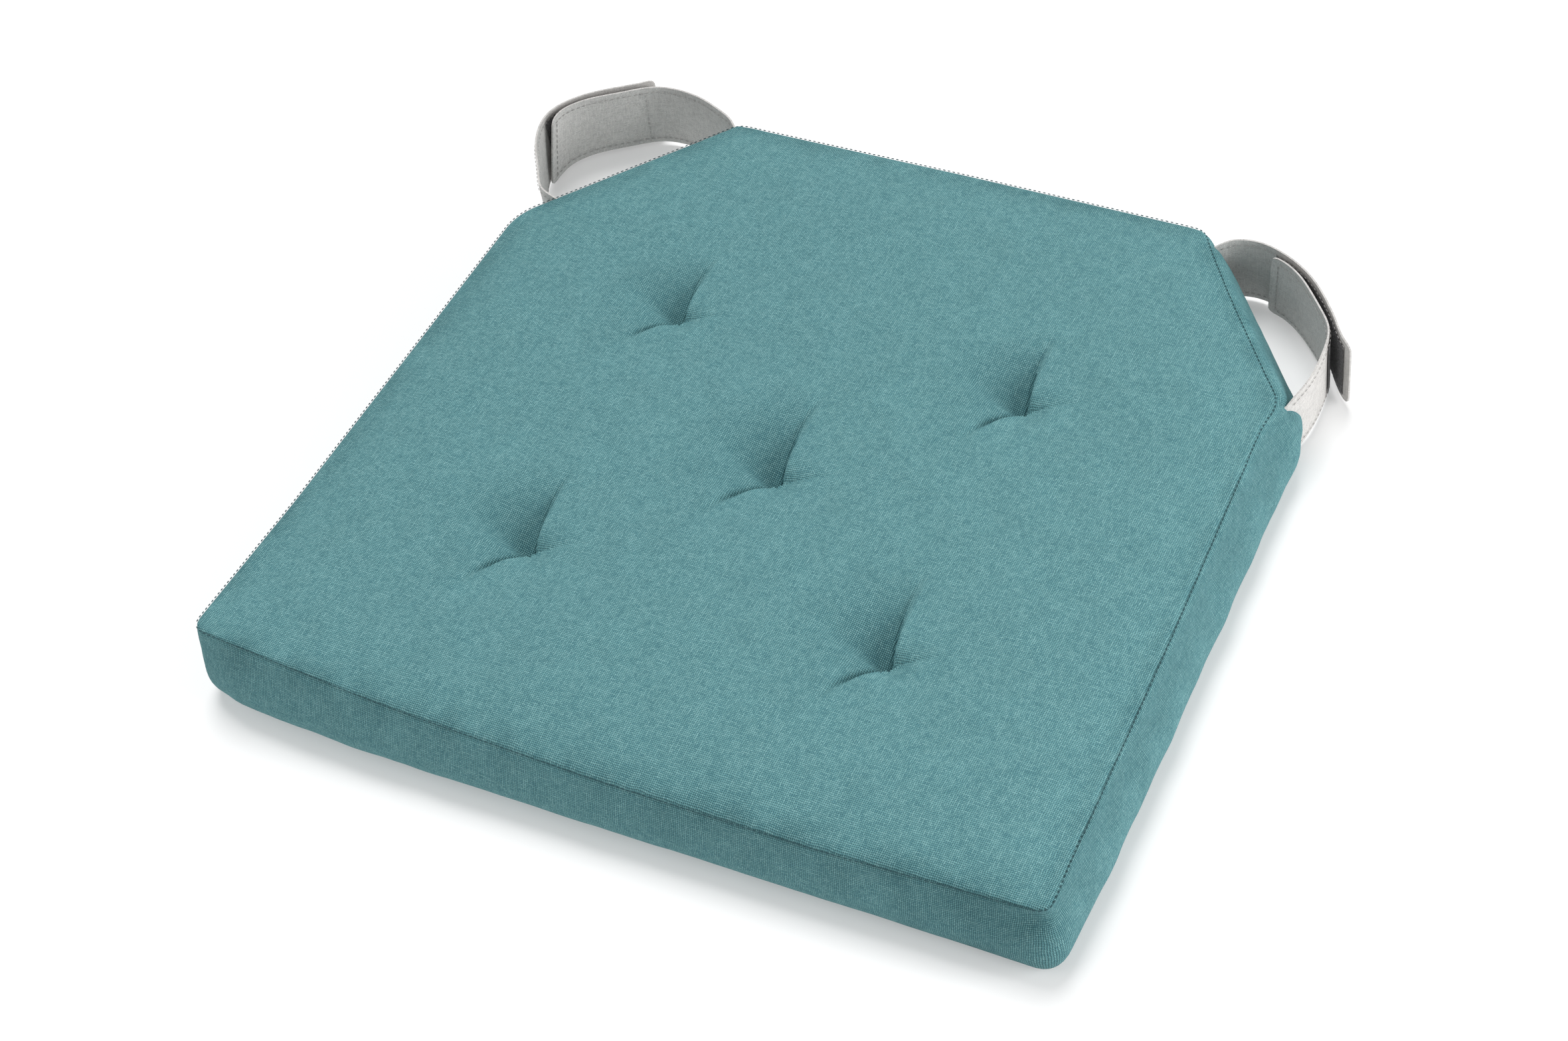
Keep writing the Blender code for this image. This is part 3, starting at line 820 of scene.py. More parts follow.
@dataclass
class Filling:
    """The soft filling, which presses the sewn cover out between its seams and its tufts."""

    cells: tuple[int, int] = (66, 63)
    band_rows: int = 9
    pressure: float = 4.0
    frames: int = 20
    quality: int = 6
    slack: float = 0.45
    cap: float = 0.0040
    tied: float = 0.006

    def press(
        self,
        cover: "PadCover",
        s: np.ndarray,
        y: np.ndarray,
        rim: dict[str, np.ndarray],
        h: np.ndarray,
    ) -> tuple[np.ndarray, np.ndarray]:
        """Simulate a coarse, slack copy of the cover as cloth, and read its swelling back.

        Args:
            cover: The cover.
            s: Its grid lines across.
            y: Its grid lines along.
            rim: Its seam line.
            h: Its band rows, from 0 at the top seam to 1 at the lower one.

        Returns:
            How far the top rises, by row and column, and how far the bands stand out, by row
            and place around.
        """
        nx, ny = self.cells
        cs, cy = np.linspace(0, 1, nx), np.linspace(y[0], y[-1], ny)
        slack = replace(cover, bulge=cover.bulge * self.slack)
        edge = slack.rim(cs, cy)
        top = slack.top_points(cs, cy, edge)
        rows = np.linspace(0, 1, self.band_rows)
        band = slack.band_points(edge, top, rows)
        around = len(edge["arc"])
        before = np.vstack([top.reshape(-1, 3), band[1:].reshape(-1, 3)])
        after = self.simulate(before, (nx, ny), edge, cover.tufts)
        moved = after - before
        size = np.linalg.norm(moved, axis=1)[:, None]
        moved = moved / (1 + size / self.cap)
        LOG.info("filling presses the cloth out by up to %.1f mm", np.abs(moved).max() / MM)
        rise = moved[: nx * ny, 2].reshape(ny, nx)
        out = np.zeros((self.band_rows, around))
        sides = moved[nx * ny :].reshape(self.band_rows - 1, around, 3)
        out[1:] = (sides[..., :2] * edge["normal"][None]).sum(2)
        smooth = [
            ring_track(edge["arc"], row, edge["starts"][-1], 11, rim["arc"]) for row in out
        ]
        part = (y - y[0]) / (y[-1] - y[0])
        risen = cubic_weights(part, ny) @ rise @ cubic_weights(s, nx).T
        return risen, cubic_weights(h, self.band_rows) @ np.array(smooth)

    def simulate(
        self,
        points: np.ndarray,
        cells: tuple[int, int],
        edge: dict[str, np.ndarray],
        tufts: Tufts,
    ) -> np.ndarray:
        """Run the cloth with its seams and tufts held.

        Args:
            points: The coarse cover's points, top first, then the band's rows.
            cells: Points across and along the top.
            edge: The coarse seam line.
            tufts: Where the threads hold the top.

        Returns:
            Where the points end up.
        """
        nx, ny = cells
        around = len(edge["arc"])
        seam = [int(r * nx + c) for r, c in zip(edge["row"], edge["column"])]
        bm = bmesh.new()
        order = grid_verts(bm, nx, ny)
        ring = [order[index] for index in seam]
        edges = [e for e in bm.edges if e.is_boundary]
        for _ in range(self.band_rows - 1):
            edges, ring, _ = extrude_ring(bm, edges, ring)
            order += ring
        place_verts(order, points)
        for index, vert in enumerate(order):
            vert.index = index
        bm.verts.sort()
        bmesh.ops.recalc_face_normals(bm, faces=bm.faces)
        mesh = bpy.data.meshes.new("filling_cage")
        bm.to_mesh(mesh)
        bm.free()
        # An open shell may come out facing inwards, and pressure pushes along the faces.
        if mesh.polygons[len(mesh.polygons) // 4].normal.z < 0:
            mesh.flip_normals()
        cage = bpy.data.objects.new("filling_cage", mesh)
        bpy.context.scene.collection.objects.link(cage)
        held = cage.vertex_groups.new(name="sewn")
        held.add(seam + list(range(len(points) - around, len(points))), 1.0, "REPLACE")
        for _, cx, cy, _, _ in tufts.places():
            gap = np.hypot(points[: nx * ny, 0] - cx, points[: nx * ny, 1] - cy)
            held.add([int(i) for i in np.flatnonzero(gap < self.tied)], 1.0, "REPLACE")
        cloth = cage.modifiers.new("cloth", "CLOTH")
        settings = cloth.settings
        settings.vertex_group_mass = held.name
        settings.quality = self.quality
        settings.use_pressure = True
        settings.uniform_pressure_force = self.pressure
        settings.effector_weights.gravity = 0.0
        cloth.collision_settings.use_collision = False
        cloth.point_cache.frame_start = 1
        cloth.point_cache.frame_end = self.frames
        for frame_number in range(1, self.frames + 1):
            bpy.context.scene.frame_set(frame_number)
        done = cage.evaluated_get(bpy.context.evaluated_depsgraph_get()).data
        after = mesh_points(done).astype(float)
        bpy.data.objects.remove(cage)
        bpy.data.meshes.remove(mesh)
        bpy.context.scene.frame_set(1)
        return after


# Values of the face layer that tells the panels apart.
TOP, SIDES, UNDERSIDE = 0, 1, 2


@dataclass
class PadCover:
    """The stuffed cover: top, side bands and underside, sewn together over the foam."""

    outline: PadOutline = field(default_factory=PadOutline)
    tufts: Tufts = field(default_factory=Tufts)
    course: SeamCourse = field(default_factory=SeamCourse)
    filling: Filling = field(default_factory=Filling)
    top_height: float = 0.0405
    crown: float = 0.0015
    drop: float = 0.040
    under_seam_height: float = 0.0016
    under_seam_inset: float = -0.0020
    bulge: float = 0.0085
    roll: float = 0.0016
    rolled_out: float = 0.0030
    seam_groove: float = 0.0011
    edge_fall: float = 0.024
    line_fine: float = 0.0008
    line_coarse: float = 0.0025
    tuft_fine: float = 0.0024
    band_rows_coarse: float = 0.0030
    under_cell: float = 0.0065
    # Where each strap is sewn in, along its slanted corner from the shoulder.
    strap_seams: tuple[tuple[int, float], ...] = (
        (-1, 0.021), (-1, 0.117), (1, 0.002), (1, 0.1105),
    )
    # A strap's seam dents the bands this deep and wide, and flattens them this far around.
    strap_dent: float = 0.0008
    dent_width: float = 0.0035
    dent_reach: float = 0.010
    # The front right corner is pinched in below its seam.
    pinch: float = 0.0032
    # The front left corner is tucked under, this far and within this much of the corner.
    tuck: float = 0.0020
    tuck_reach: float = 0.018
    # Heights of the bands' folds, of the longer ones at the right, and of the fine creases.
    fold: float = 0.00030
    right_fold: float = 0.00022
    crease: float = 0.00012
    # Heights and wavelengths of the top's unevenness, and of the puckers along its seam.
    top_waves: tuple[tuple[float, float], ...] = ((0.00055, 0.075), (0.00013, 0.021))
    pucker: tuple[float, float] = (0.00028, 0.009)
    # How far the underside's flat part stands in from its seam, and its height.
    under_inset: float = 0.007
    under_height: float = 0.0002
    # How far the bands swell: edge number, metres past its start, and share of the bulge.
    swells: tuple[tuple[int, float, float], ...] = (
        (0, 0.0, 0.38), (0, 0.020, 0.95), (0, 0.080, 1.15), (0, 0.320, 0.66), (1, 0.0, 0.48),
        (1, 0.05, 0.78), (2, -0.02, 0.84), (2, 0.0, 0.98), (2, 0.015, 1.18), (3, 0.0, 0.9),
        (4, 0.0, 0.5), (5, 0.0, 0.6), (5, 0.02, 0.6), (6, 0.0, 0.38),
    )
    stitch_pitch: float = 0.0025
    stitch_length: float = 0.0016
    thread: float = 0.00027
    seam_path: np.ndarray | None = field(init=False, default=None)

    def across_lines(self) -> np.ndarray:
        """Grid lines across the pad, as parts of its width."""
        half = self.outline.shoulder_width / 2
        marks = [(-half, self.line_fine, 0.30), (half, self.line_fine, 0.30)]
        columns = sorted({round(place[1], 4) for place in self.tufts.places()})
        marks += [(x, self.tuft_fine, 0.022) for x in columns]
        return (graded_lines(-half, half, self.line_coarse, marks) + half) / (2 * half)

    def along_lines(self) -> np.ndarray:
        """Grid lines along the pad's depth, in metres."""
        end = self.outline.depth / 2
        marks = [(-end, self.line_fine, 0.30), (end, self.line_fine, 0.30)]
        rows = sorted({round(place[2], 4) for place in self.tufts.places()})
        marks += [(y, self.tuft_fine, 0.022) for y in rows]
        marks.append((self.outline.shoulder_y, 0.0012, 0.15))
        for side, distance in self.strap_seams:
            shoulder, along, _ = self.outline.corner_frame(side)
            marks.append(((shoulder + along * distance).y, 0.0008, 0.30))
        return graded_lines(-end, end, self.line_coarse, marks)

    def rim(self, s: np.ndarray, y: np.ndarray) -> dict[str, np.ndarray]:
        """Work out the seam line around the top.

        Args:
            s: Grid lines across, as parts of the width.
            y: Grid lines along the depth.

        Returns:
            For each point, anticlockwise from the front left: its grid "row" and "column", its
            plan "place", outward "normal", distance "arc", and the seam's "shift" and "height".
        """
        nx, ny = len(s), len(y)
        columns = np.concatenate(
            [np.arange(nx), np.full(ny - 1, nx - 1), np.arange(nx - 2, -1, -1), np.zeros(ny - 2)]
        ).astype(int)
        rows = np.concatenate(
            [np.zeros(nx), np.arange(1, ny), np.full(nx - 1, ny - 1), np.arange(ny - 2, 0, -1)]
        ).astype(int)
        half = self.outline.half_width(y[rows])
        place = np.stack([(2 * s[columns] - 1) * half, y[rows]], axis=1)
        corners = self.outline.corners()
        lengths = [(corners[(i + 1) % 6][0] - corners[i][0]).length for i in range(6)]
        starts = np.concatenate([[0], np.cumsum(lengths)])
        arc = walked(place)
        total = starts[-1]
        # Each corner is drawn in along a parabola between its two edges.
        rounded = place.copy()
        for index, (corner, radius) in enumerate(corners):
            before = (corners[index - 1][0] - corner).normalized()
            after = (corners[(index + 1) % 6][0] - corner).normalized()
            gap = (arc - starts[index] + total / 2) % total - total / 2
            near = np.abs(gap) < radius
            t = (gap[near] / radius + 1) / 2
            c, b, a = (np.array(v) for v in (corner, before, after))
            rounded[near] = c + np.outer((1 - t) ** 2, b) * radius + np.outer(t**2, a) * radius
        ahead = np.roll(rounded, -1, axis=0) - np.roll(rounded, 1, axis=0)
        normal = unit_rows(np.stack([ahead[:, 1], -ahead[:, 0]], axis=1))
        gap = np.abs((arc[:, None] - arc[None, :] + total / 2) % total - total / 2)
        weight = bell(gap, 0.005) * np.gradient(arc)[None, :]
        normal = unit_rows(weight @ normal)
        stops = self.course.stops
        at = np.array([starts[e] + lengths[e] * t for e, t, _, _ in stops])
        shift, height = (
            ring_track(at, [stop[column] * MM for stop in stops], total, 23, arc)
            for column in (2, 3)
        )
        return {
            "row": rows, "column": columns, "place": rounded, "normal": normal, "arc": arc,
            "shift": shift, "height": height, "starts": starts,
        }

    def top_points(self, s: np.ndarray, y: np.ndarray, rim: dict[str, np.ndarray]) -> np.ndarray:
        """Shape the top from the seam line inwards.

        Args:
            s: Grid lines across.
            y: Grid lines along.
            rim: The seam line.

        Returns:
            Points by row and column.
        """
        half = self.outline.half_width(y)
        flat = np.zeros((len(y), len(s), 3))
        flat[..., 0] = (2 * s[None, :] - 1) * half[:, None]
        flat[..., 1] = y[:, None]
        change = np.zeros_like(flat)
        target = rim["place"] + rim["normal"] * rim["shift"][:, None]
        rr, cc = rim["row"], rim["column"]
        change[rr, cc, :2] = target - flat[rr, cc, :2]
        change[rr, cc, 2] = rim["height"] - self.top_height
        slant = np.where(y > self.outline.shoulder_y, 0.79, 1.0)
        from_left = s[None, :] * 2 * half[:, None] * slant[:, None]
        from_right = (1 - s[None, :]) * 2 * half[:, None] * slant[:, None]
        from_front = (y - y[0])[:, None] + 0 * from_left
        from_back = (y[-1] - y)[:, None] + 0 * from_left

        def spread(part: np.ndarray, reach: float, power: float) -> np.ndarray:
            """Carry the seam's change inwards from all four sides of the grid."""
            f0, f1 = fade(from_front, reach, power), fade(from_back, reach, power)
            g0, g1 = fade(from_left, reach, power), fade(from_right, reach, power)
            total = f0 * part[0][None, :] + f1 * part[-1][None, :]
            total += g0 * part[:, 0][:, None] + g1 * part[:, -1][:, None]
            total -= f0 * g0 * part[0, 0] + f0 * g1 * part[0, -1]
            total -= f1 * g0 * part[-1, 0] + f1 * g1 * part[-1, -1]
            return total

        points = flat.copy()
        for axis in (0, 1):
            points[..., axis] += spread(change[..., axis], 0.045, 2.0)
        points[..., 2] = self.top_height + spread(change[..., 2], self.edge_fall, 2.2)
        edge = np.minimum.reduce([from_left, from_right, from_front, from_back])
        plan = flat[..., :2].reshape(-1, 2)
        inner = smooth_step(edge / 0.03)
        crown = self.crown * np.cos(flat[..., 0] * 6.5) * np.cos(flat[..., 1] * 6.5)
        uneven = sum(
            rise * ripple(plan, wave, seed)
            for seed, (rise, wave) in enumerate(self.top_waves, start=1)
        )
        points[..., 2] += inner * (crown + uneven.reshape(edge.shape))
        pucker = self.pucker[0] * ripple(plan, self.pucker[1], 3).reshape(edge.shape)
        points[..., 2] += pucker * np.exp(-edge / 0.006) * smooth_step(edge / 0.0015)
        points[..., 2] -= self.seam_groove * bell(edge, 0.0010)
        return points

    def band_rows(self) -> np.ndarray:
        """Rows of the bands, from 0 at the top seam to 1 at the lower one."""
        marks = [(0.0, self.line_fine, 0.30), (self.drop, self.line_fine, 0.30)]
        return graded_lines(0.0, self.drop, self.band_rows_coarse, marks) / self.drop

    def band_points(
        self, rim: dict[str, np.ndarray], top: np.ndarray, levels: np.ndarray
    ) -> np.ndarray:
        """Shape the side bands from the top seam down to the underside's seam.

        Args:
            rim: The seam line.
            top: The top's points.
            levels: The rows, from 0 at the top seam to 1 at the lower one.

        Returns:
            Points by row, from the top seam's own, and place around.
        """
        drop = self.drop
        rows = levels * drop
        h = levels[:, None]
        normal = np.concatenate([rim["normal"], np.zeros((len(rim["arc"]), 1))], axis=1)
        upper = top[rim["row"], rim["column"]]
        arc, starts = rim["arc"], rim["starts"]
        total = starts[-1]

        def near(place: float, reach: float) -> np.ndarray:
            """Give 1 at a place around the pad, fading to 0 away from it."""
            gap = (arc - place + total / 2) % total - total / 2
            return bell(gap, reach)

        inset = self.under_seam_inset + self.tuck * near(0.0, self.tuck_reach)
        lower = np.zeros_like(upper)
        lower[:, :2] = rim["place"] - rim["normal"] * inset[:, None]
        lower[:, 2] = self.under_seam_height
        at, amounts = zip(*((starts[edge] + past, swell) for edge, past, swell in self.swells))
        swell = np.interp(arc, at, amounts)
        sewn = np.zeros_like(arc)
        for side, distance in self.strap_seams:
            place = starts[2] + distance if side > 0 else starts[5] - distance
            sewn = np.maximum(sewn, near(place, self.dent_width))
            swell = swell * (1 - 0.10 * near(place, self.dent_reach))
        run = np.stack([np.tile(arc, len(rows)), np.repeat(rows, len(arc))], axis=1)
        shape = (len(rows), len(arc))
        # Soft folds slant down the bands, where the cloth is a little long for the foam.
        slanted = run.copy()
        slanted[:, 0] += 0.7 * run[:, 1]
        folds = ripple(slanted, 0.026, 4, (1.0, 5.0)).reshape(shape)
        fine = ripple(run, 0.012, 5, (1.0, 1.6)).reshape(shape)
        side_edge = np.exp(-(((arc - (starts[1] + starts[2]) / 2) / 0.15) ** 4))
        # The foam's edge is firm, so the cloth slumps and stands out furthest low down.
        body = 0.30 * np.sin(np.pi * h) ** 0.6 + 0.78 * np.sin(np.pi * h**1.85) ** 0.8
        out = self.bulge * swell[None, :] * body
        # At the right slanted corner the band rolls out over its own seam.
        turned = smooth_step((arc - starts[2] + 0.012) / 0.018)
        turned = (turned * smooth_step((starts[3] + 0.004 - arc) / 0.02))[None, :]
        out += turned * self.rolled_out * np.sin(np.pi * np.clip(h * 1.25, 0, 1) ** 0.6)
        out += (self.fold + self.right_fold * side_edge[None, :]) * folds * np.sin(np.pi * h)
        out += self.crease * fine * np.sin(np.pi * h)
        dent = near(starts[1] - 0.003, 0.011)[None, :] * bell(h - 0.17, 0.11)
        out -= self.pinch * dent
        out -= self.strap_dent * sewn[None, :] * body
        out -= self.seam_groove * (bell(h * drop, 0.0011) + bell((1 - h) * drop, 0.0011))
        points = upper[None] * (1 - h[..., None]) + lower[None] * h[..., None]
        points = points + normal[None] * out[..., None]
        rise = self.roll * (0.35 + side_edge[None, :] + 0.9 * turned)
        rise = rise * bell(h - 0.10, 0.09)
        points[..., 2] += rise * (1 - sewn[None, :])
        points[0] = upper
        return points

    def build(self, material: bpy.types.Material) -> bpy.types.Object:
        """Make the cover as one closed mesh.

        Args:
            material: Its finish.

        Returns:
            The piece, with its "cloth" map and its "open_weave" and "seam_line" attributes.
        """
        s, y = self.across_lines(), self.along_lines()
        rim = self.rim(s, y)
        top = self.top_points(s, y, rim)
        levels = self.band_rows()
        rise, stand = self.filling.press(self, s, y, rim, levels)
        top[..., 2] += rise
        band = self.band_points(rim, top, levels)
        band[..., :2] += rim["normal"][None] * stand[..., None]
        nx, ny, around = len(s), len(y), len(rim["arc"])
        bm = bmesh.new()
        panel = bm.faces.layers.int.new("panel")
        sewn = bm.verts.layers.float.new("seam_line")
        order = grid_verts(bm, nx, ny)
        place_verts(order, top.reshape(-1, 3))
        rings = [[order[r * nx + c] for r, c in zip(rim["row"], rim["column"])]]
        edges = [e for e in bm.edges if e.is_boundary]
        for row in band[1:]:
            edges, ring, faces = extrude_ring(bm, edges, rings[-1])
            place_verts(ring, row)
            for face in faces:
                face[panel] = SIDES
            rings.append(ring)
        # The top and lower seams and the strap seams are marked for the shader, which paints shade
        # along their creases.
        columns = [
            int(np.argmin(np.abs(rim["arc"] - rim["starts"][2 if side > 0 else 5] - side * place)))
            for side, place in self.strap_seams
        ]
        for vert in rings[0] + rings[-1] + [ring[column] for ring in rings for column in columns]:
            vert[sewn] = 1.0
        self.seam_path = band[0] + 0.30 * self.seam_groove * np.column_stack(
            [rim["normal"], np.ones(around)]
        )
        self.close_under(bm, edges, panel)
        bmesh.ops.recalc_face_normals(bm, faces=bm.faces)
        self.map_cloth(bm, panel, rings, rim, band)
        self.refine_tufts(bm, panel)
        pulled = self.pull_tufts(bm, panel)
        obj = mesh_piece("pad_cover", bm, material)
        self.mark_open_weave(obj, rim, pulled)
        return obj

    def stitches(self, material: bpy.types.Material) -> bpy.types.Object:
        """Lay the stitches that show in the top seam.

        Args:
            material: The thread.

        Returns:
            The piece.
        """
        path = np.vstack([self.seam_path, self.seam_path[:1]])
        around = walked(path)
        bm = bmesh.new()
        for start in np.arange(0, around[-1] - self.stitch_pitch, self.stitch_pitch):
            ends = [
                Vector([np.interp(at, around, path[:, i]) for i in range(3)])
                for at in (start, start + self.stitch_length)
            ]
            lay_stitch(bm, *ends, self.thread)
        return mesh_piece("pad_seam_stitching", bm, material)

    def tuft_threads(self, pad: bpy.types.Object, material: bpy.types.Material) -> bpy.types.Object:
        """Lay the threads that pull the tufts down, from each pit's floor to the underside.

        Args:
            pad: The finished cover.
            material: The thread.

        Returns:
            The piece.
        """
        points = mesh_points(pad.data)
        points = points[points[:, 2] > self.top_height / 3]
        bm = bmesh.new()
        for _, cx, cy, _, turn in self.tufts.places():
            close = points[np.hypot(points[:, 0] - cx, points[:, 1] - cy) < 0.003]
            floor = Vector(close[close[:, 2].argmin()].tolist())
            under = Vector((floor.x, floor.y, 0.0048))
            lay_stitch(bm, under, floor + Vector((0, 0, 0.0002)), self.thread)
            for bearing in (self.tufts.slit, self.tufts.right + 20):
                way = math.radians(bearing + turn)
                arm = Vector((math.cos(way), math.sin(way), 0.35)) * 0.0014
                lay_stitch(bm, floor - arm * 0.5, floor + arm, self.thread)
        return mesh_piece("tuft_threads", bm, material)

    def refine_tufts(self, bm: bmesh.types.BMesh, panel: object) -> None:
        """Split the top's cells around each tuft, twice near its middle.

        Args:
            bm: The cover's mesh.
            panel: The face layer that tells the panels apart.
        """
        for reach in (0.042, 0.024):
            chosen = set()
            for _, cx, cy, strength, _ in self.tufts.places():
                centre = Vector((cx, cy))
                chosen |= {
                    face for face in bm.faces
                    if face[panel] == TOP
                    and (face.calc_center_median().xy - centre).length < reach * strength
                }
            edges = {edge for face in chosen for edge in face.edges}
            bmesh.ops.subdivide_edges(bm, edges=list(edges), cuts=1, use_grid_fill=True)
        many = [face for face in bm.faces if len(face.verts) > 4]
        bmesh.ops.triangulate(bm, faces=many)

    def pull_tufts(self, bm: bmesh.types.BMesh, panel: object) -> dict[int, float]:
        """Draw the top down at the tufts.

        Args:
            bm: The cover's mesh.
            panel: The face layer that tells the panels apart.

        Returns:
            How far the weave is pulled open, by vertex number.
        """
        top = list({vert for face in bm.faces if face[panel] == TOP for vert in face.verts})
        plan = np.array([vert.co.xy for vert in top])
        depth, opened = self.tufts.sink(plan[:, 0], plan[:, 1])
        bm.verts.index_update()
        for vert, down in zip(top, depth.tolist()):
            vert.co.z -= down
        return {vert.index: pull for vert, pull in zip(top, opened.tolist()) if pull > 0.01}

    def close_under(
        self, bm: bmesh.types.BMesh, edges: list[bmesh.types.BMEdge], panel: object
    ) -> None:
        """Close the underside with a flat grid that carries the tufts' shallow pits.

        Args:
            bm: The cover's mesh.
            edges: The underside's seam.
            panel: The face layer that tells the panels apart.
        """
        outline, inset = self.outline, self.under_inset
        nx = round(outline.front_width / self.under_cell)
        ny = round(outline.depth / self.under_cell)
        made = bmesh.ops.create_grid(bm, x_segments=nx, y_segments=ny, size=1.0)["verts"]
        for vert in made:
            y = vert.co.y * (outline.depth / 2 - inset)
            half = float(outline.half_width(np.array(y))) - inset
            x = vert.co.x * half
            z = self.under_height
            for _, cx, cy, _, _ in self.tufts.places():
                z += 0.004 * max(0.0, 1 - math.hypot(x - cx, y - cy) / 0.015) ** 2
            vert.co = (x, y, z)
        grid = {f for v in made for f in v.link_faces}
        inner = [e for f in grid for e in f.edges if e.is_boundary]
        bridged = bmesh.ops.bridge_loops(bm, edges=edges + list(set(inner)))["faces"]
        for face in [*grid, *bridged]:
            face[panel] = UNDERSIDE

    def map_cloth(
        self,
        bm: bmesh.types.BMesh,
        panel: object,
        rings: list[list[bmesh.types.BMVert]],
        rim: dict[str, np.ndarray],
        band: np.ndarray,
    ) -> None:
        """Give every face its yarn coordinates in millimetres.

        Args:
            bm: The cover's mesh.
            panel: The face layer that tells the panels apart.
            rings: The band's vertices, by row and place around.
            rim: The seam line.
            band: The band's points.
        """
        cloth = bm.loops.layers.uv.new("cloth")
        where = {}
        length = rim["starts"][-1]
        steps = np.linalg.norm(np.diff(band, axis=0), axis=2)
        down = np.vstack([np.zeros(len(rim["arc"])), np.cumsum(steps, axis=0)])
        for row, ring in enumerate(rings):
            for index, vert in enumerate(ring):
                where[vert] = (rim["arc"][index], -down[row, index])
        for face in bm.faces:
            if face[panel] != SIDES:
                for corner in face.loops:
                    corner[cloth].uv = corner.vert.co.xy / MM
                continue
            spots = [where[corner.vert] for corner in face.loops]
            wraps = max(a for a, _ in spots) - min(a for a, _ in spots) > length / 2
            for corner, (arc, z) in zip(face.loops, spots):
                if wraps and arc < length / 2:
                    arc += length
                corner[cloth].uv = (arc / MM + 5000, z / MM)

    def mark_open_weave(
        self, obj: bpy.types.Object, rim: dict[str, np.ndarray], tufted: dict[int, float]
    ) -> None:
        """Mark where stitching and folding pull the weave open, which widens the painted shade in
        its gaps.

        Args:
            obj: The cover.
            rim: The seam line.
            tufted: How far the tufts pull it open, by vertex number.
        """
        mesh = obj.data
        points = mesh_points(mesh)
        seam = np.zeros(len(points))
        for start in range(0, len(points), 4000):
            part = points[start : start + 4000, :2]
            gap = np.sqrt(((part[:, None] - rim["place"][None]) ** 2).sum(2)).min(1)
            seam[start : start + 4000] = gap
        pulled = bell(seam, 0.007) * (0.55 + 0.45 * ripple(points, 0.02, 8, (1, 1, 1)))
        # The right band is painted darker along its seam: its weave gaps, and their painted shade,
        # are widened there.
        right = smooth_step((points[:, 0] - 0.12) / 0.05) * (points[:, 2] < self.top_height - 0.002)
        pulled += 0.65 * right * bell(seam, 0.009)
        pulled[list(tufted)] += np.array(list(tufted.values()))
        layer = mesh.attributes.new("open_weave", "FLOAT", "POINT")
        layer.data.foreach_set("value", np.clip(pulled, 0, 1).astype(np.float32))


# ---- Straps -------------------------------------------------------------------------------
def fair_line(points: list[Vector], step: float) -> list[Vector]:
    """Draw a smooth line through plan points.

    Args:
        points: The points to pass through.
        step: Spacing of the points that come back.

    Returns:
        Evenly spaced points.
    """
    ends = [points[0] * 2 - points[1]] + points + [points[-1] * 2 - points[-2]]
    fine = []
    for a, b, c, d in zip(ends, ends[1:], ends[2:], ends[3:]):
        for part in range(24):
            t = part / 24
            cubic = (3 * b - a - 3 * c + d) * t**3 + (2 * a - 5 * b + 4 * c - d) * t**2
            fine.append(0.5 * (2 * b + (c - a) * t + cubic))
    return spaced(fine + [points[-1]], step)


def spaced(points: list[Vector], step: float) -> list[Vector]:
    """Space a line's points evenly, about one step apart."""
    plan = np.array(points)
    along = walked(plan)
    at = np.linspace(0, along[-1], max(2, round(along[-1] / step)) + 1)
    return [Vector(p) for p in zip(*(np.interp(at, along, plan[:, i]) for i in (0, 1)))]


def cut_line(points: list[Vector], length: float) -> list[Vector]:
    """Keep the first part of a line."""
    kept, so_far = [points[0]], 0.0
    for a, b in zip(points, points[1:]):
        part = (b - a).length
        if so_far + part >= length:
            return kept + [a.lerp(b, (length - so_far) / part)]
        kept.append(b)
        so_far += part
    return kept


def beside(points: list[Vector], distance: float) -> list[Vector]:
    """Move a line to its left."""
    moved = []
    for index, point in enumerate(points):
        run = points[min(index + 1, len(points) - 1)] - points[max(index - 1, 0)]
        run.normalize()
        moved.append(point + Vector((-run.y, run.x)) * distance)
    return moved


@dataclass
class StrapCloth:
    """Sizes that all four straps share."""

    width: float = 0.036
    centre_z: float = 0.020
    layer: float = 0.00085
    face: float = 0.00052  # how far each layer's surface stands from the strap's middle
    thickness: float = 0.0016
    tape_thickness: float = 0.0008
    tape_width: float = 0.030
    tape_lines: int = 25
    pile: float = 0.0007
    gap: float = 0.0003
    step: float = 0.0020
    stitch_inset: float = 0.0030
    stitch_pitch: float = 0.0030
    stitch_length: float = 0.0021
    thread: float = 0.00021
    sewn_in: float = 0.006
    gather: float = 0.14
    gather_reach: float = 0.018
    wave: float = 0.00035
    wavelength: float = 0.045
    corner: float = 0.003  # how far a tip's corners are rounded
    edge_dip: float = 0.00010
    stitch_dip: float = 0.00014
    past_tip: float = 0.02
    # How far from the lap's start and the strap's tip each tape ends.
    hook_ends: tuple[float, float] = (0.0030, 0.0035)
    loop_ends: tuple[float, float] = (-0.0050, 0.0050)
    # Where a turning strap begins and ends to bend, outwards from its hinge line.
    bend: tuple[float, float] = (-0.001, 0.008)
    stand_off: float = 0.00012  # how far the topstitching's middle is above the cloth

    @property
    def spread(self) -> float:
        """Half the distance between two straps with both tapes between them."""
        return (self.thickness + 3 * self.gap) / 2 + self.tape_thickness

    @property
    def root_clearance(self) -> float:
        """How far outside the pad's edge a strap's hinge line stands."""
        return self.thickness / 2 + self.gap


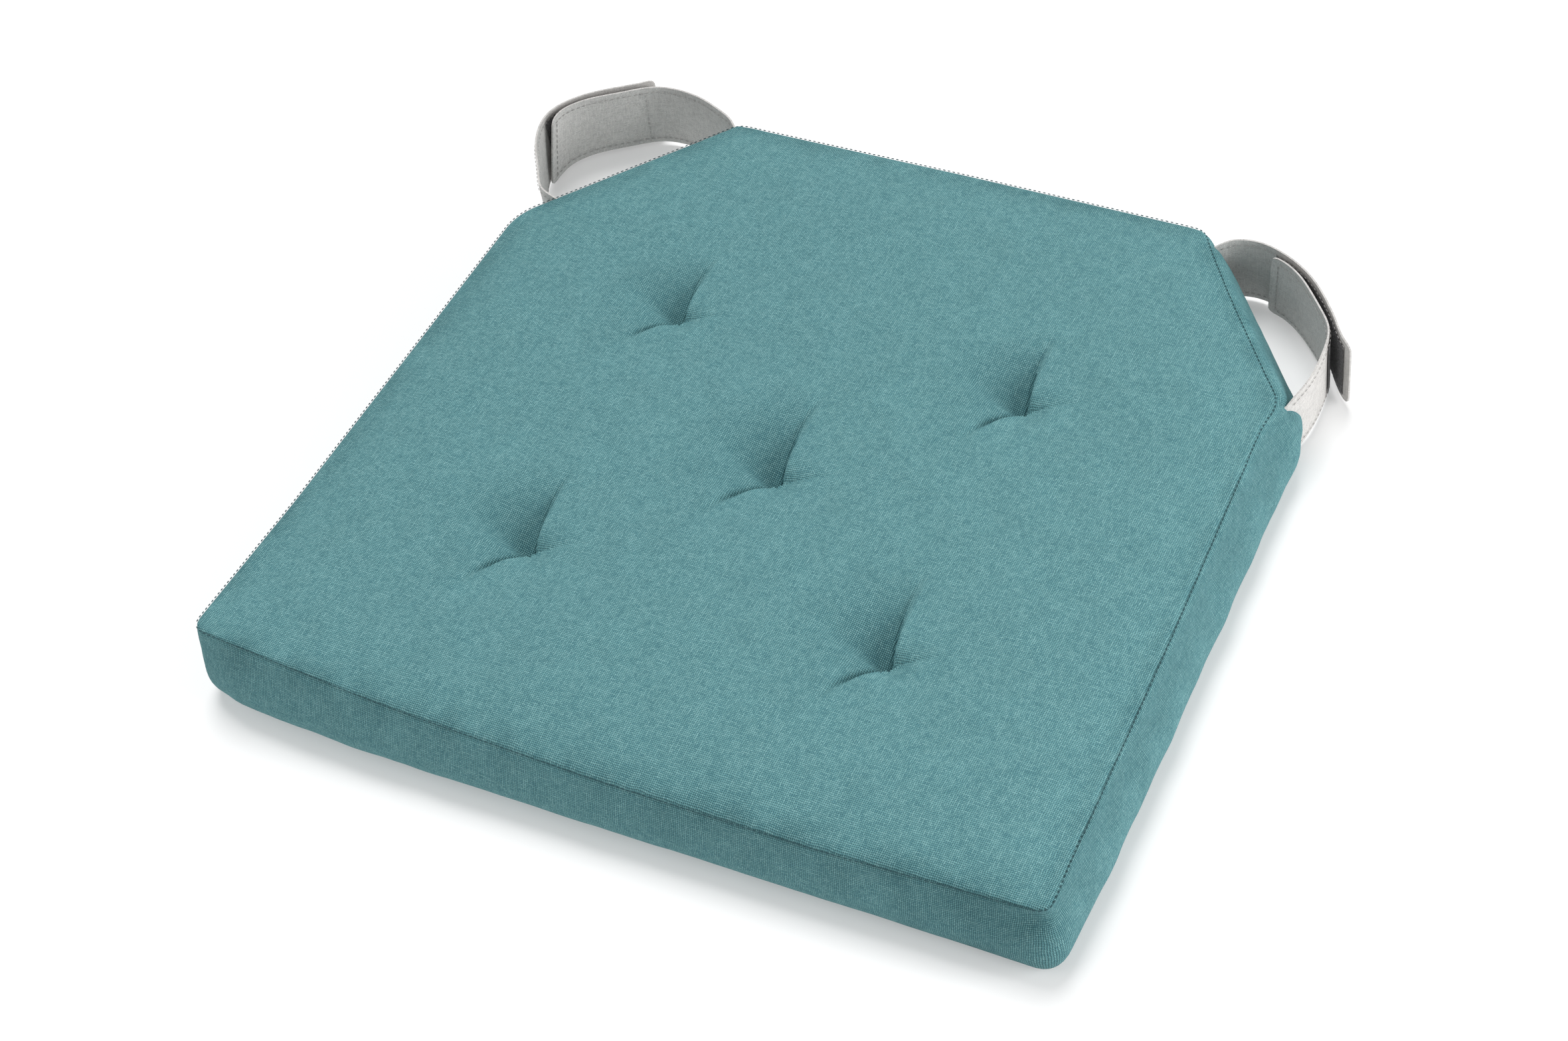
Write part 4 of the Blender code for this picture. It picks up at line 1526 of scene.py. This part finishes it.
@dataclass
class StrapLoop:
    """One corner's loop: an outer and an inner strap that close with hook and loop tape."""

    side: Side
    outer_from_side: bool
    side_seam: float
    back_seam: float
    reach: float
    shape: tuple[tuple[float, float], ...]
    lengths: dict[Layer, float]
    tips: dict[Layer, float]
    # How far each tip curls away from the loop's other strap, and over what length.
    curls: dict[Layer, tuple[float, float]]
    # How far each tip's lower corner is drawn out past its upper one.
    slants: dict[Layer, float]
    # Distances from the tip of the stitch lines across a strap.
    bars: dict[Layer, tuple[float, ...]]
    cloth: StrapCloth = field(default_factory=StrapCloth)
    outline: PadOutline = field(default_factory=PadOutline)

    @property
    def hand(self) -> int:
        """Minus one on the left and one on the right."""
        return -1 if self.side is Side.LEFT else 1

    def at_side(self, layer: Layer) -> bool:
        """Tell whether a strap is sewn in at the side end of its corner."""
        return self.outer_from_side == (layer is Layer.OUTER)

    def middle(self) -> list[Vector]:
        """Draw the line midway between the two straps, from the side to the back."""
        shoulder, along, outward = self.outline.corner_frame(self.hand)
        spread = self.cloth.spread * (1 if self.outer_from_side else -1)
        side, back = self.side_seam + spread, self.back_seam + spread
        local = [(side, self.cloth.root_clearance)]
        local += [(side + (back - side) * t, self.reach * w) for t, w in self.shape]
        local.append((back, self.cloth.root_clearance))
        return fair_line([shoulder + along * u + outward * v for u, v in local], self.cloth.step)

    def root(self, layer: Layer) -> tuple[Vector, Vector]:
        """Give a strap's hinge point and the outward direction there."""
        shoulder, along, outward = self.outline.corner_frame(self.hand)
        seam = self.side_seam if self.at_side(layer) else self.back_seam
        return shoulder + along * seam + outward * self.cloth.root_clearance, outward

    def line(self, layer: Layer) -> list[Vector]:
        """Draw a strap's plan line from inside the seam to its tip."""
        middle = self.middle()
        if not self.at_side(layer):
            middle = middle[::-1]
        distance = self.away(layer) * self.cloth.spread
        root, outward = self.root(layer)
        body = [p for p in beside(middle, distance) if (p - root).length > 2.5 * self.cloth.step]
        length, tip = self.lengths[layer], self.tips[layer]
        line = cut_line([root] + body, length - tip)
        run = (line[-1] - line[-2]).normalized()
        full = [root - outward * self.cloth.sewn_in] + line + [line[-1] + run * tip]
        return spaced(full, self.cloth.step)

    def away(self, layer: Layer) -> int:
        """Tell which way is away from the loop's other strap: 1 for left of the line."""
        outside = 1 if (self.hand > 0) != self.at_side(layer) else -1
        return outside if layer is Layer.OUTER else -outside

    def tape_span(self, layer: Layer, length: float) -> tuple[float, float]:
        """Give where the tape on a strap starts and ends, along the strap's line."""
        lap = sum(self.lengths.values()) - walked(np.array(self.middle()))[-1]
        # The hook tape shows a little beyond the inner strap's tip.
        hook = layer is Layer.OUTER
        early, late = self.cloth.hook_ends if hook else self.cloth.loop_ends
        return length - lap - early, length - late

    def surface(
        self,
        line: list[Vector],
        layer: Layer,
        along: np.ndarray,
        z: np.ndarray,
        off: float | np.ndarray,
    ) -> np.ndarray:
        """Place points of a strap's surface.

        Args:
            line: Its plan line.
            layer: Which strap.
            along: Distances along the line, one for each point.
            z: Heights above the strap's middle line.
            off: How far to the left of the line.

        Returns:
            One row for each point.
        """
        plan = np.array(line)
        reached = walked(plan)
        run = unit_rows(np.gradient(plan, axis=0))
        left = np.stack([-run[:, 1], run[:, 0]], axis=1)
        # The line runs on past the tip, for a tip whose lower corner is drawn out.
        total = reached[-1]
        past = self.cloth.past_tip
        plan = np.vstack([plan, plan[-1] + run[-1] * past])
        left, reached = np.vstack([left, left[-1]]), np.append(reached, total + past)
        at = along + self.slants[layer] * (along / total) ** 3 * (0.5 - z / self.cloth.width)
        place, side = (
            np.stack([np.interp(at, reached, each[:, i]) for i in (0, 1)], axis=1)
            for each in (plan, left)
        )
        seed = 30 + 2 * (self.hand > 0) + (layer is Layer.INNER)
        wave = self.cloth.wave * ripple(
            np.stack([along, z * 0.6], axis=1), self.cloth.wavelength, seed
        )
        wave *= smooth_step(along / 0.02 - 0.3)
        amount, over = self.curls[layer]
        curl = self.away(layer) * amount * np.clip(1 - (total - along) / over, 0, 1.2) ** 2
        xy = place + side * (off + wave + curl)[:, None]
        # Each strap is gathered a little narrower where it is sewn in.
        gathered = 1 - self.cloth.gather * (1 - smooth_step(along / self.cloth.gather_reach))
        return np.column_stack([xy, z * gathered + self.cloth.centre_z])

    def strap_mesh(self, layer: Layer) -> bmesh.types.BMesh:
        """Make a strap of two sewn layers, rounded at its tip, with its "cloth" map."""
        line, cloth = self.line(layer), self.cloth
        length = walked(np.array(line))[-1]
        rows = round(length / cloth.step)
        half = cloth.width / 2
        marks = [(-half, 0.0006, 0.3), (half, 0.0006, 0.3)]
        marks += [(s * (half - cloth.stitch_inset), 0.0005, 0.3) for s in (-1, 1)]
        z_lines = graded_lines(-half, half, 0.0030, marks)
        bm = bmesh.new()
        uv = bm.loops.layers.uv.new("cloth")
        for sign in (1, -1):
            made = grid_verts(bm, rows + 1, len(z_lines))
            along = np.tile(np.linspace(0, length, rows + 1), len(z_lines))
            z = np.repeat(z_lines, rows + 1)
            # The tip's corners are rounded, and the edges lie a little closer together.
            corner = np.clip((np.abs(z) - half + cloth.corner) / cloth.corner, 0, 1)
            pull = cloth.corner * (1 - np.sqrt(1 - corner**2))
            pull *= smooth_step((along - length) / 0.008 + 1)
            edge = bell(half - np.abs(z), 0.0012)
            sunk = bell(half - cloth.stitch_inset - np.abs(z), 0.0005)
            off = sign * (cloth.face - cloth.edge_dip * edge - cloth.stitch_dip * sunk)
            points = self.surface(line, layer, along - pull, z, off)
            place_verts(made, points)
            faces = list({face for vert in made for face in vert.link_faces})
            where = {v: (a / MM, b / MM) for v, a, b in zip(made, along, z)}
            for face in faces:
                for loop in face.loops:
                    loop[uv].uv = where[loop.vert]
                face.normal_update()
            half_way = len(made) // 2
            further = self.surface(line, layer, along - pull, z, off + sign)[half_way]
            probe = next(f for f in faces if made[half_way] in f.verts)
            if probe.normal.dot(Vector(further - points[half_way])) < 0:
                bmesh.ops.reverse_faces(bm, faces=faces)
            bmesh.ops.solidify(bm, geom=faces, thickness=cloth.layer)
        return bm

    def tape_mesh(self, layer: Layer) -> bmesh.types.BMesh:
        """Make the hook or loop tape on a strap."""
        line, cloth = self.line(layer), self.cloth
        length = walked(np.array(line))[-1]
        first, last = self.tape_span(layer, length)
        rows = round((last - first) / 0.0012)
        inside = -self.away(layer) * ((cloth.thickness + cloth.tape_thickness) / 2 + cloth.gap)
        half, lines = cloth.tape_width / 2, cloth.tape_lines
        bm = bmesh.new()
        made = grid_verts(bm, rows + 1, lines)
        along = np.tile(np.linspace(first, last, rows + 1), lines)
        z = np.repeat(np.linspace(-half, half, lines), rows + 1)
        rough = ripple(np.stack([along, z], axis=1), 0.0028, 50) * 0.00009
        off = inside + cloth.pile / 2 + rough
        place_verts(made, self.surface(line, layer, along, z, off))
        bmesh.ops.solidify(bm, geom=bm.faces[:], thickness=cloth.pile)
        bmesh.ops.recalc_face_normals(bm, faces=bm.faces)
        return bm

    def stitch_mesh(self, layer: Layer) -> bmesh.types.BMesh:
        """Make the rows of topstitching along a strap's edges and across its tape."""
        line, cloth = self.line(layer), self.cloth
        length = walked(np.array(line))[-1]
        row = cloth.width / 2 - cloth.stitch_inset
        spots = []
        for z in (row, -row):
            for a in np.arange(cloth.sewn_in + 0.004, length - 0.0045, cloth.stitch_pitch):
                spots.append((a, z, a + cloth.stitch_length, z))
        for bar in self.bars[layer]:
            for z in np.arange(-row, row, cloth.stitch_pitch):
                spots.append((length - bar, z, length - bar, z + cloth.stitch_length))
        bm = bmesh.new()
        ends = np.array(spots)
        for sign in (1, -1):
            off = sign * (cloth.layer + cloth.stand_off)
            one = self.surface(line, layer, ends[:, 0], ends[:, 1], off)
            two = self.surface(line, layer, ends[:, 2], ends[:, 3], off)
            for a, b in zip(one.tolist(), two.tolist()):
                lay_stitch(bm, Vector(a), Vector(b), cloth.thread)
        return bm

    def build(
        self,
        cloth_finish: bpy.types.Material,
        thread: bpy.types.Material,
        tapes: dict[Layer, bpy.types.Material],
    ) -> None:
        """Make the loop's straps, tapes and stitching, and hang the tapes on their bodies.

        Args:
            cloth_finish: The straps' cloth.
            thread: The stitching.
            tapes: The tape on each strap.
        """
        name = self.side.value
        for layer in Layer:
            body = f"{name}_{layer.value}"
            root, outward = self.root(layer)
            strap = mesh_piece(f"{body}_strap_cloth", self.strap_mesh(layer), cloth_finish)
            strap.data.set_sharp_from_angle(angle=math.radians(50))
            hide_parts(f"{body}_strap")
            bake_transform(strap)
            kind = "hook" if layer is Layer.OUTER else "loop"
            tape = mesh_piece(f"{body}_{kind}_tape_pile", self.tape_mesh(layer), tapes[layer])
            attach(tape, body)
            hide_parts(f"{name}_{kind}_tape")
            stitches = mesh_piece(f"{body}_stitching", self.stitch_mesh(layer), thread)
            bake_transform(stitches)


def lay_stitch(bm: bmesh.types.BMesh, start: Vector, end: Vector, radius: float) -> None:
    """Add one stitch, a thin thread that dips at both its ends.

    Args:
        bm: The mesh that takes it.
        start: Where it comes up.
        end: Where it goes down.
        radius: The thread's radius.
    """
    run = end - start
    turn = run.to_track_quat("Z", "Y").to_matrix().to_4x4()
    size = Matrix.Diagonal((radius, radius, run.length / 2, 1))
    place = Matrix.Translation((start + end) / 2) @ turn @ size
    bmesh.ops.create_uvsphere(bm, u_segments=6, v_segments=4, radius=1.0, matrix=place)


LEFT_LOOP = StrapLoop(
    side=Side.LEFT,
    outer_from_side=True,
    side_seam=0.021,
    back_seam=0.117,
    reach=0.0665,
    shape=(
        (-0.05, 0.21), (0.00, 0.45), (0.08, 0.76), (0.20, 0.955), (0.37, 1.00),
        (0.58, 0.925), (0.79, 0.80), (0.93, 0.53), (1.00, 0.18),
    ),
    lengths={Layer.OUTER: 0.131, Layer.INNER: 0.117},
    tips={Layer.OUTER: 0.006, Layer.INNER: 0.004},
    curls={Layer.OUTER: (0.0015, 0.012), Layer.INNER: (0.0020, 0.014)},
    slants={Layer.OUTER: 0.0, Layer.INNER: 0.010},
    bars={Layer.OUTER: (0.004, 0.054), Layer.INNER: (0.004, 0.054)},
)
RIGHT_LOOP = StrapLoop(
    side=Side.RIGHT,
    outer_from_side=False,
    side_seam=0.002,
    back_seam=0.1105,
    reach=0.0368,
    shape=(
        (0.075, 0.33), (0.21, 0.70), (0.36, 0.96), (0.52, 1.00), (0.70, 0.955),
        (0.84, 0.82), (0.95, 0.60), (1.00, 0.33),
    ),
    lengths={Layer.OUTER: 0.105, Layer.INNER: 0.107},
    tips={Layer.OUTER: 0.012, Layer.INNER: 0.005},
    curls={Layer.OUTER: (0.0048, 0.018), Layer.INNER: (0.0010, 0.010)},
    slants={Layer.OUTER: 0.0, Layer.INNER: 0.002},
    bars={Layer.OUTER: (0.004, 0.054), Layer.INNER: (0.004, 0.054)},
)


# ---- The studio ---------------------------------------------------------------------------
@dataclass
class Studio:
    """Soft light from above and behind, a white floor, and the camera."""

    camera_place: tuple[float, float, float] = (0.47768, -0.75689, 0.96800)
    azimuth: float = 32.9207
    elevation: float = 47.4762
    roll: float = -9.5770
    lens: float = 66.35
    sensor: float = 36.0
    floor_half: float = 6.0
    floor_z: float = -0.0002
    sky: float = 0.32
    # Name, kind, place, size or a sun's angle in degrees, and power.
    lamps: tuple[tuple[str, str, tuple[float, float, float], float, float], ...] = (
        ("back_left_key", "SUN", (-0.7, 1.0, 2.4), 30.0, 2.05),
        ("right_softbox", "AREA", (1.9, 0.15, 0.6), 1.2, 31.0),
        ("front_left_fill", "AREA", (-1.4, -1.2, 1.6), 1.6, 12.0),
    )

    def build(self) -> None:
        """Make the floor, lights, world and camera."""
        self.add_floor()
        self.add_lights()
        self.add_camera()

    def add_floor(self) -> None:
        """Make the floor just under the pad."""
        bm = bmesh.new()
        bmesh.ops.create_grid(bm, x_segments=4, y_segments=4, size=self.floor_half)
        bmesh.ops.translate(bm, verts=bm.verts, vec=(0, 0, self.floor_z))
        mesh_piece("studio_floor", bm, StudioFloor().build())

    def add_lights(self) -> None:
        """Make the sky and the soft boxes."""
        world = bpy.data.worlds.new("studio_white")
        world.use_nodes = True
        back = world.node_tree.nodes["Background"]
        back.inputs[0].default_value = linear("FFFFFF")
        back.inputs[1].default_value = self.sky
        bpy.context.scene.world = world
        for name, kind, place, size, power in self.lamps:
            light = bpy.data.lights.new(name, kind)
            if kind == "SUN":
                light.angle = math.radians(size)
            else:
                light.size = size
            light.energy = power
            lamp = bpy.data.objects.new(name, light)
            lamp.location = place
            lamp.rotation_euler = Vector(place).to_track_quat("Z", "Y").to_euler()
            bpy.context.scene.collection.objects.link(lamp)
        bpy.context.scene.view_settings.view_transform = "Standard"

    def add_camera(self) -> None:
        """Make the camera at its measured place and turn."""
        az, el, roll = (math.radians(a) for a in (self.azimuth, self.elevation, self.roll))
        right = Vector((math.cos(az), math.sin(az), 0))
        back = Vector((math.sin(az) * math.cos(el), -math.cos(az) * math.cos(el), math.sin(el)))
        up = back.cross(right)
        across = right * math.cos(roll) + up * math.sin(roll)
        upward = up * math.cos(roll) - right * math.sin(roll)
        data = bpy.data.cameras.new("camera")
        data.lens = self.lens
        data.sensor_fit = "HORIZONTAL"
        data.sensor_width = self.sensor
        data.clip_start = 0.01
        camera = bpy.data.objects.new("camera", data)
        turn = Matrix((across, upward, back)).transposed().to_4x4()
        camera.matrix_world = Matrix.Translation(self.camera_place) @ turn
        bpy.context.scene.collection.objects.link(camera)
        bpy.context.scene.camera = camera


# ---- Putting it together ------------------------------------------------------------------
PAD_NODES = (
    "foam_core", "top_panel", "bottom_panel", "front_side_band", "back_band",
    "left_corner_band", "right_corner_band",
)

TIE_NODES = (
    "tuft_tie_centre", "tuft_tie_front_left", "tuft_tie_front_right", "tuft_tie_back_left",
    "tuft_tie_back_right",
)


def main() -> None:
    """Build the pad, its straps and the studio, and log the pad cover's face count."""
    logging.basicConfig(level=logging.INFO, format="%(message)s")
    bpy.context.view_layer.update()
    cover = PadCover()
    pad = cover.build(COVER_COTTON.build())
    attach(pad, "pad")
    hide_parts(*PAD_NODES)
    LOG.info("pad cover: %d faces", len(pad.data.polygons))
    seam_thread = SEAM_THREAD.build()
    seam = cover.stitches(seam_thread)
    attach(seam, "pad")
    ties = cover.tuft_threads(pad, seam_thread)
    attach(ties, "pad")
    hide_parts(*TIE_NODES)
    strap_cloth, strap_thread = STRAP_COTTON.build(), STRAP_THREAD.build()
    tapes = {Layer.OUTER: HOOK_TAPE.build(), Layer.INNER: LOOP_TAPE.build()}
    for loop in (LEFT_LOOP, RIGHT_LOOP):
        loop.build(strap_cloth, strap_thread, tapes)
    Studio().build()


if __name__ == "__main__":
    main()
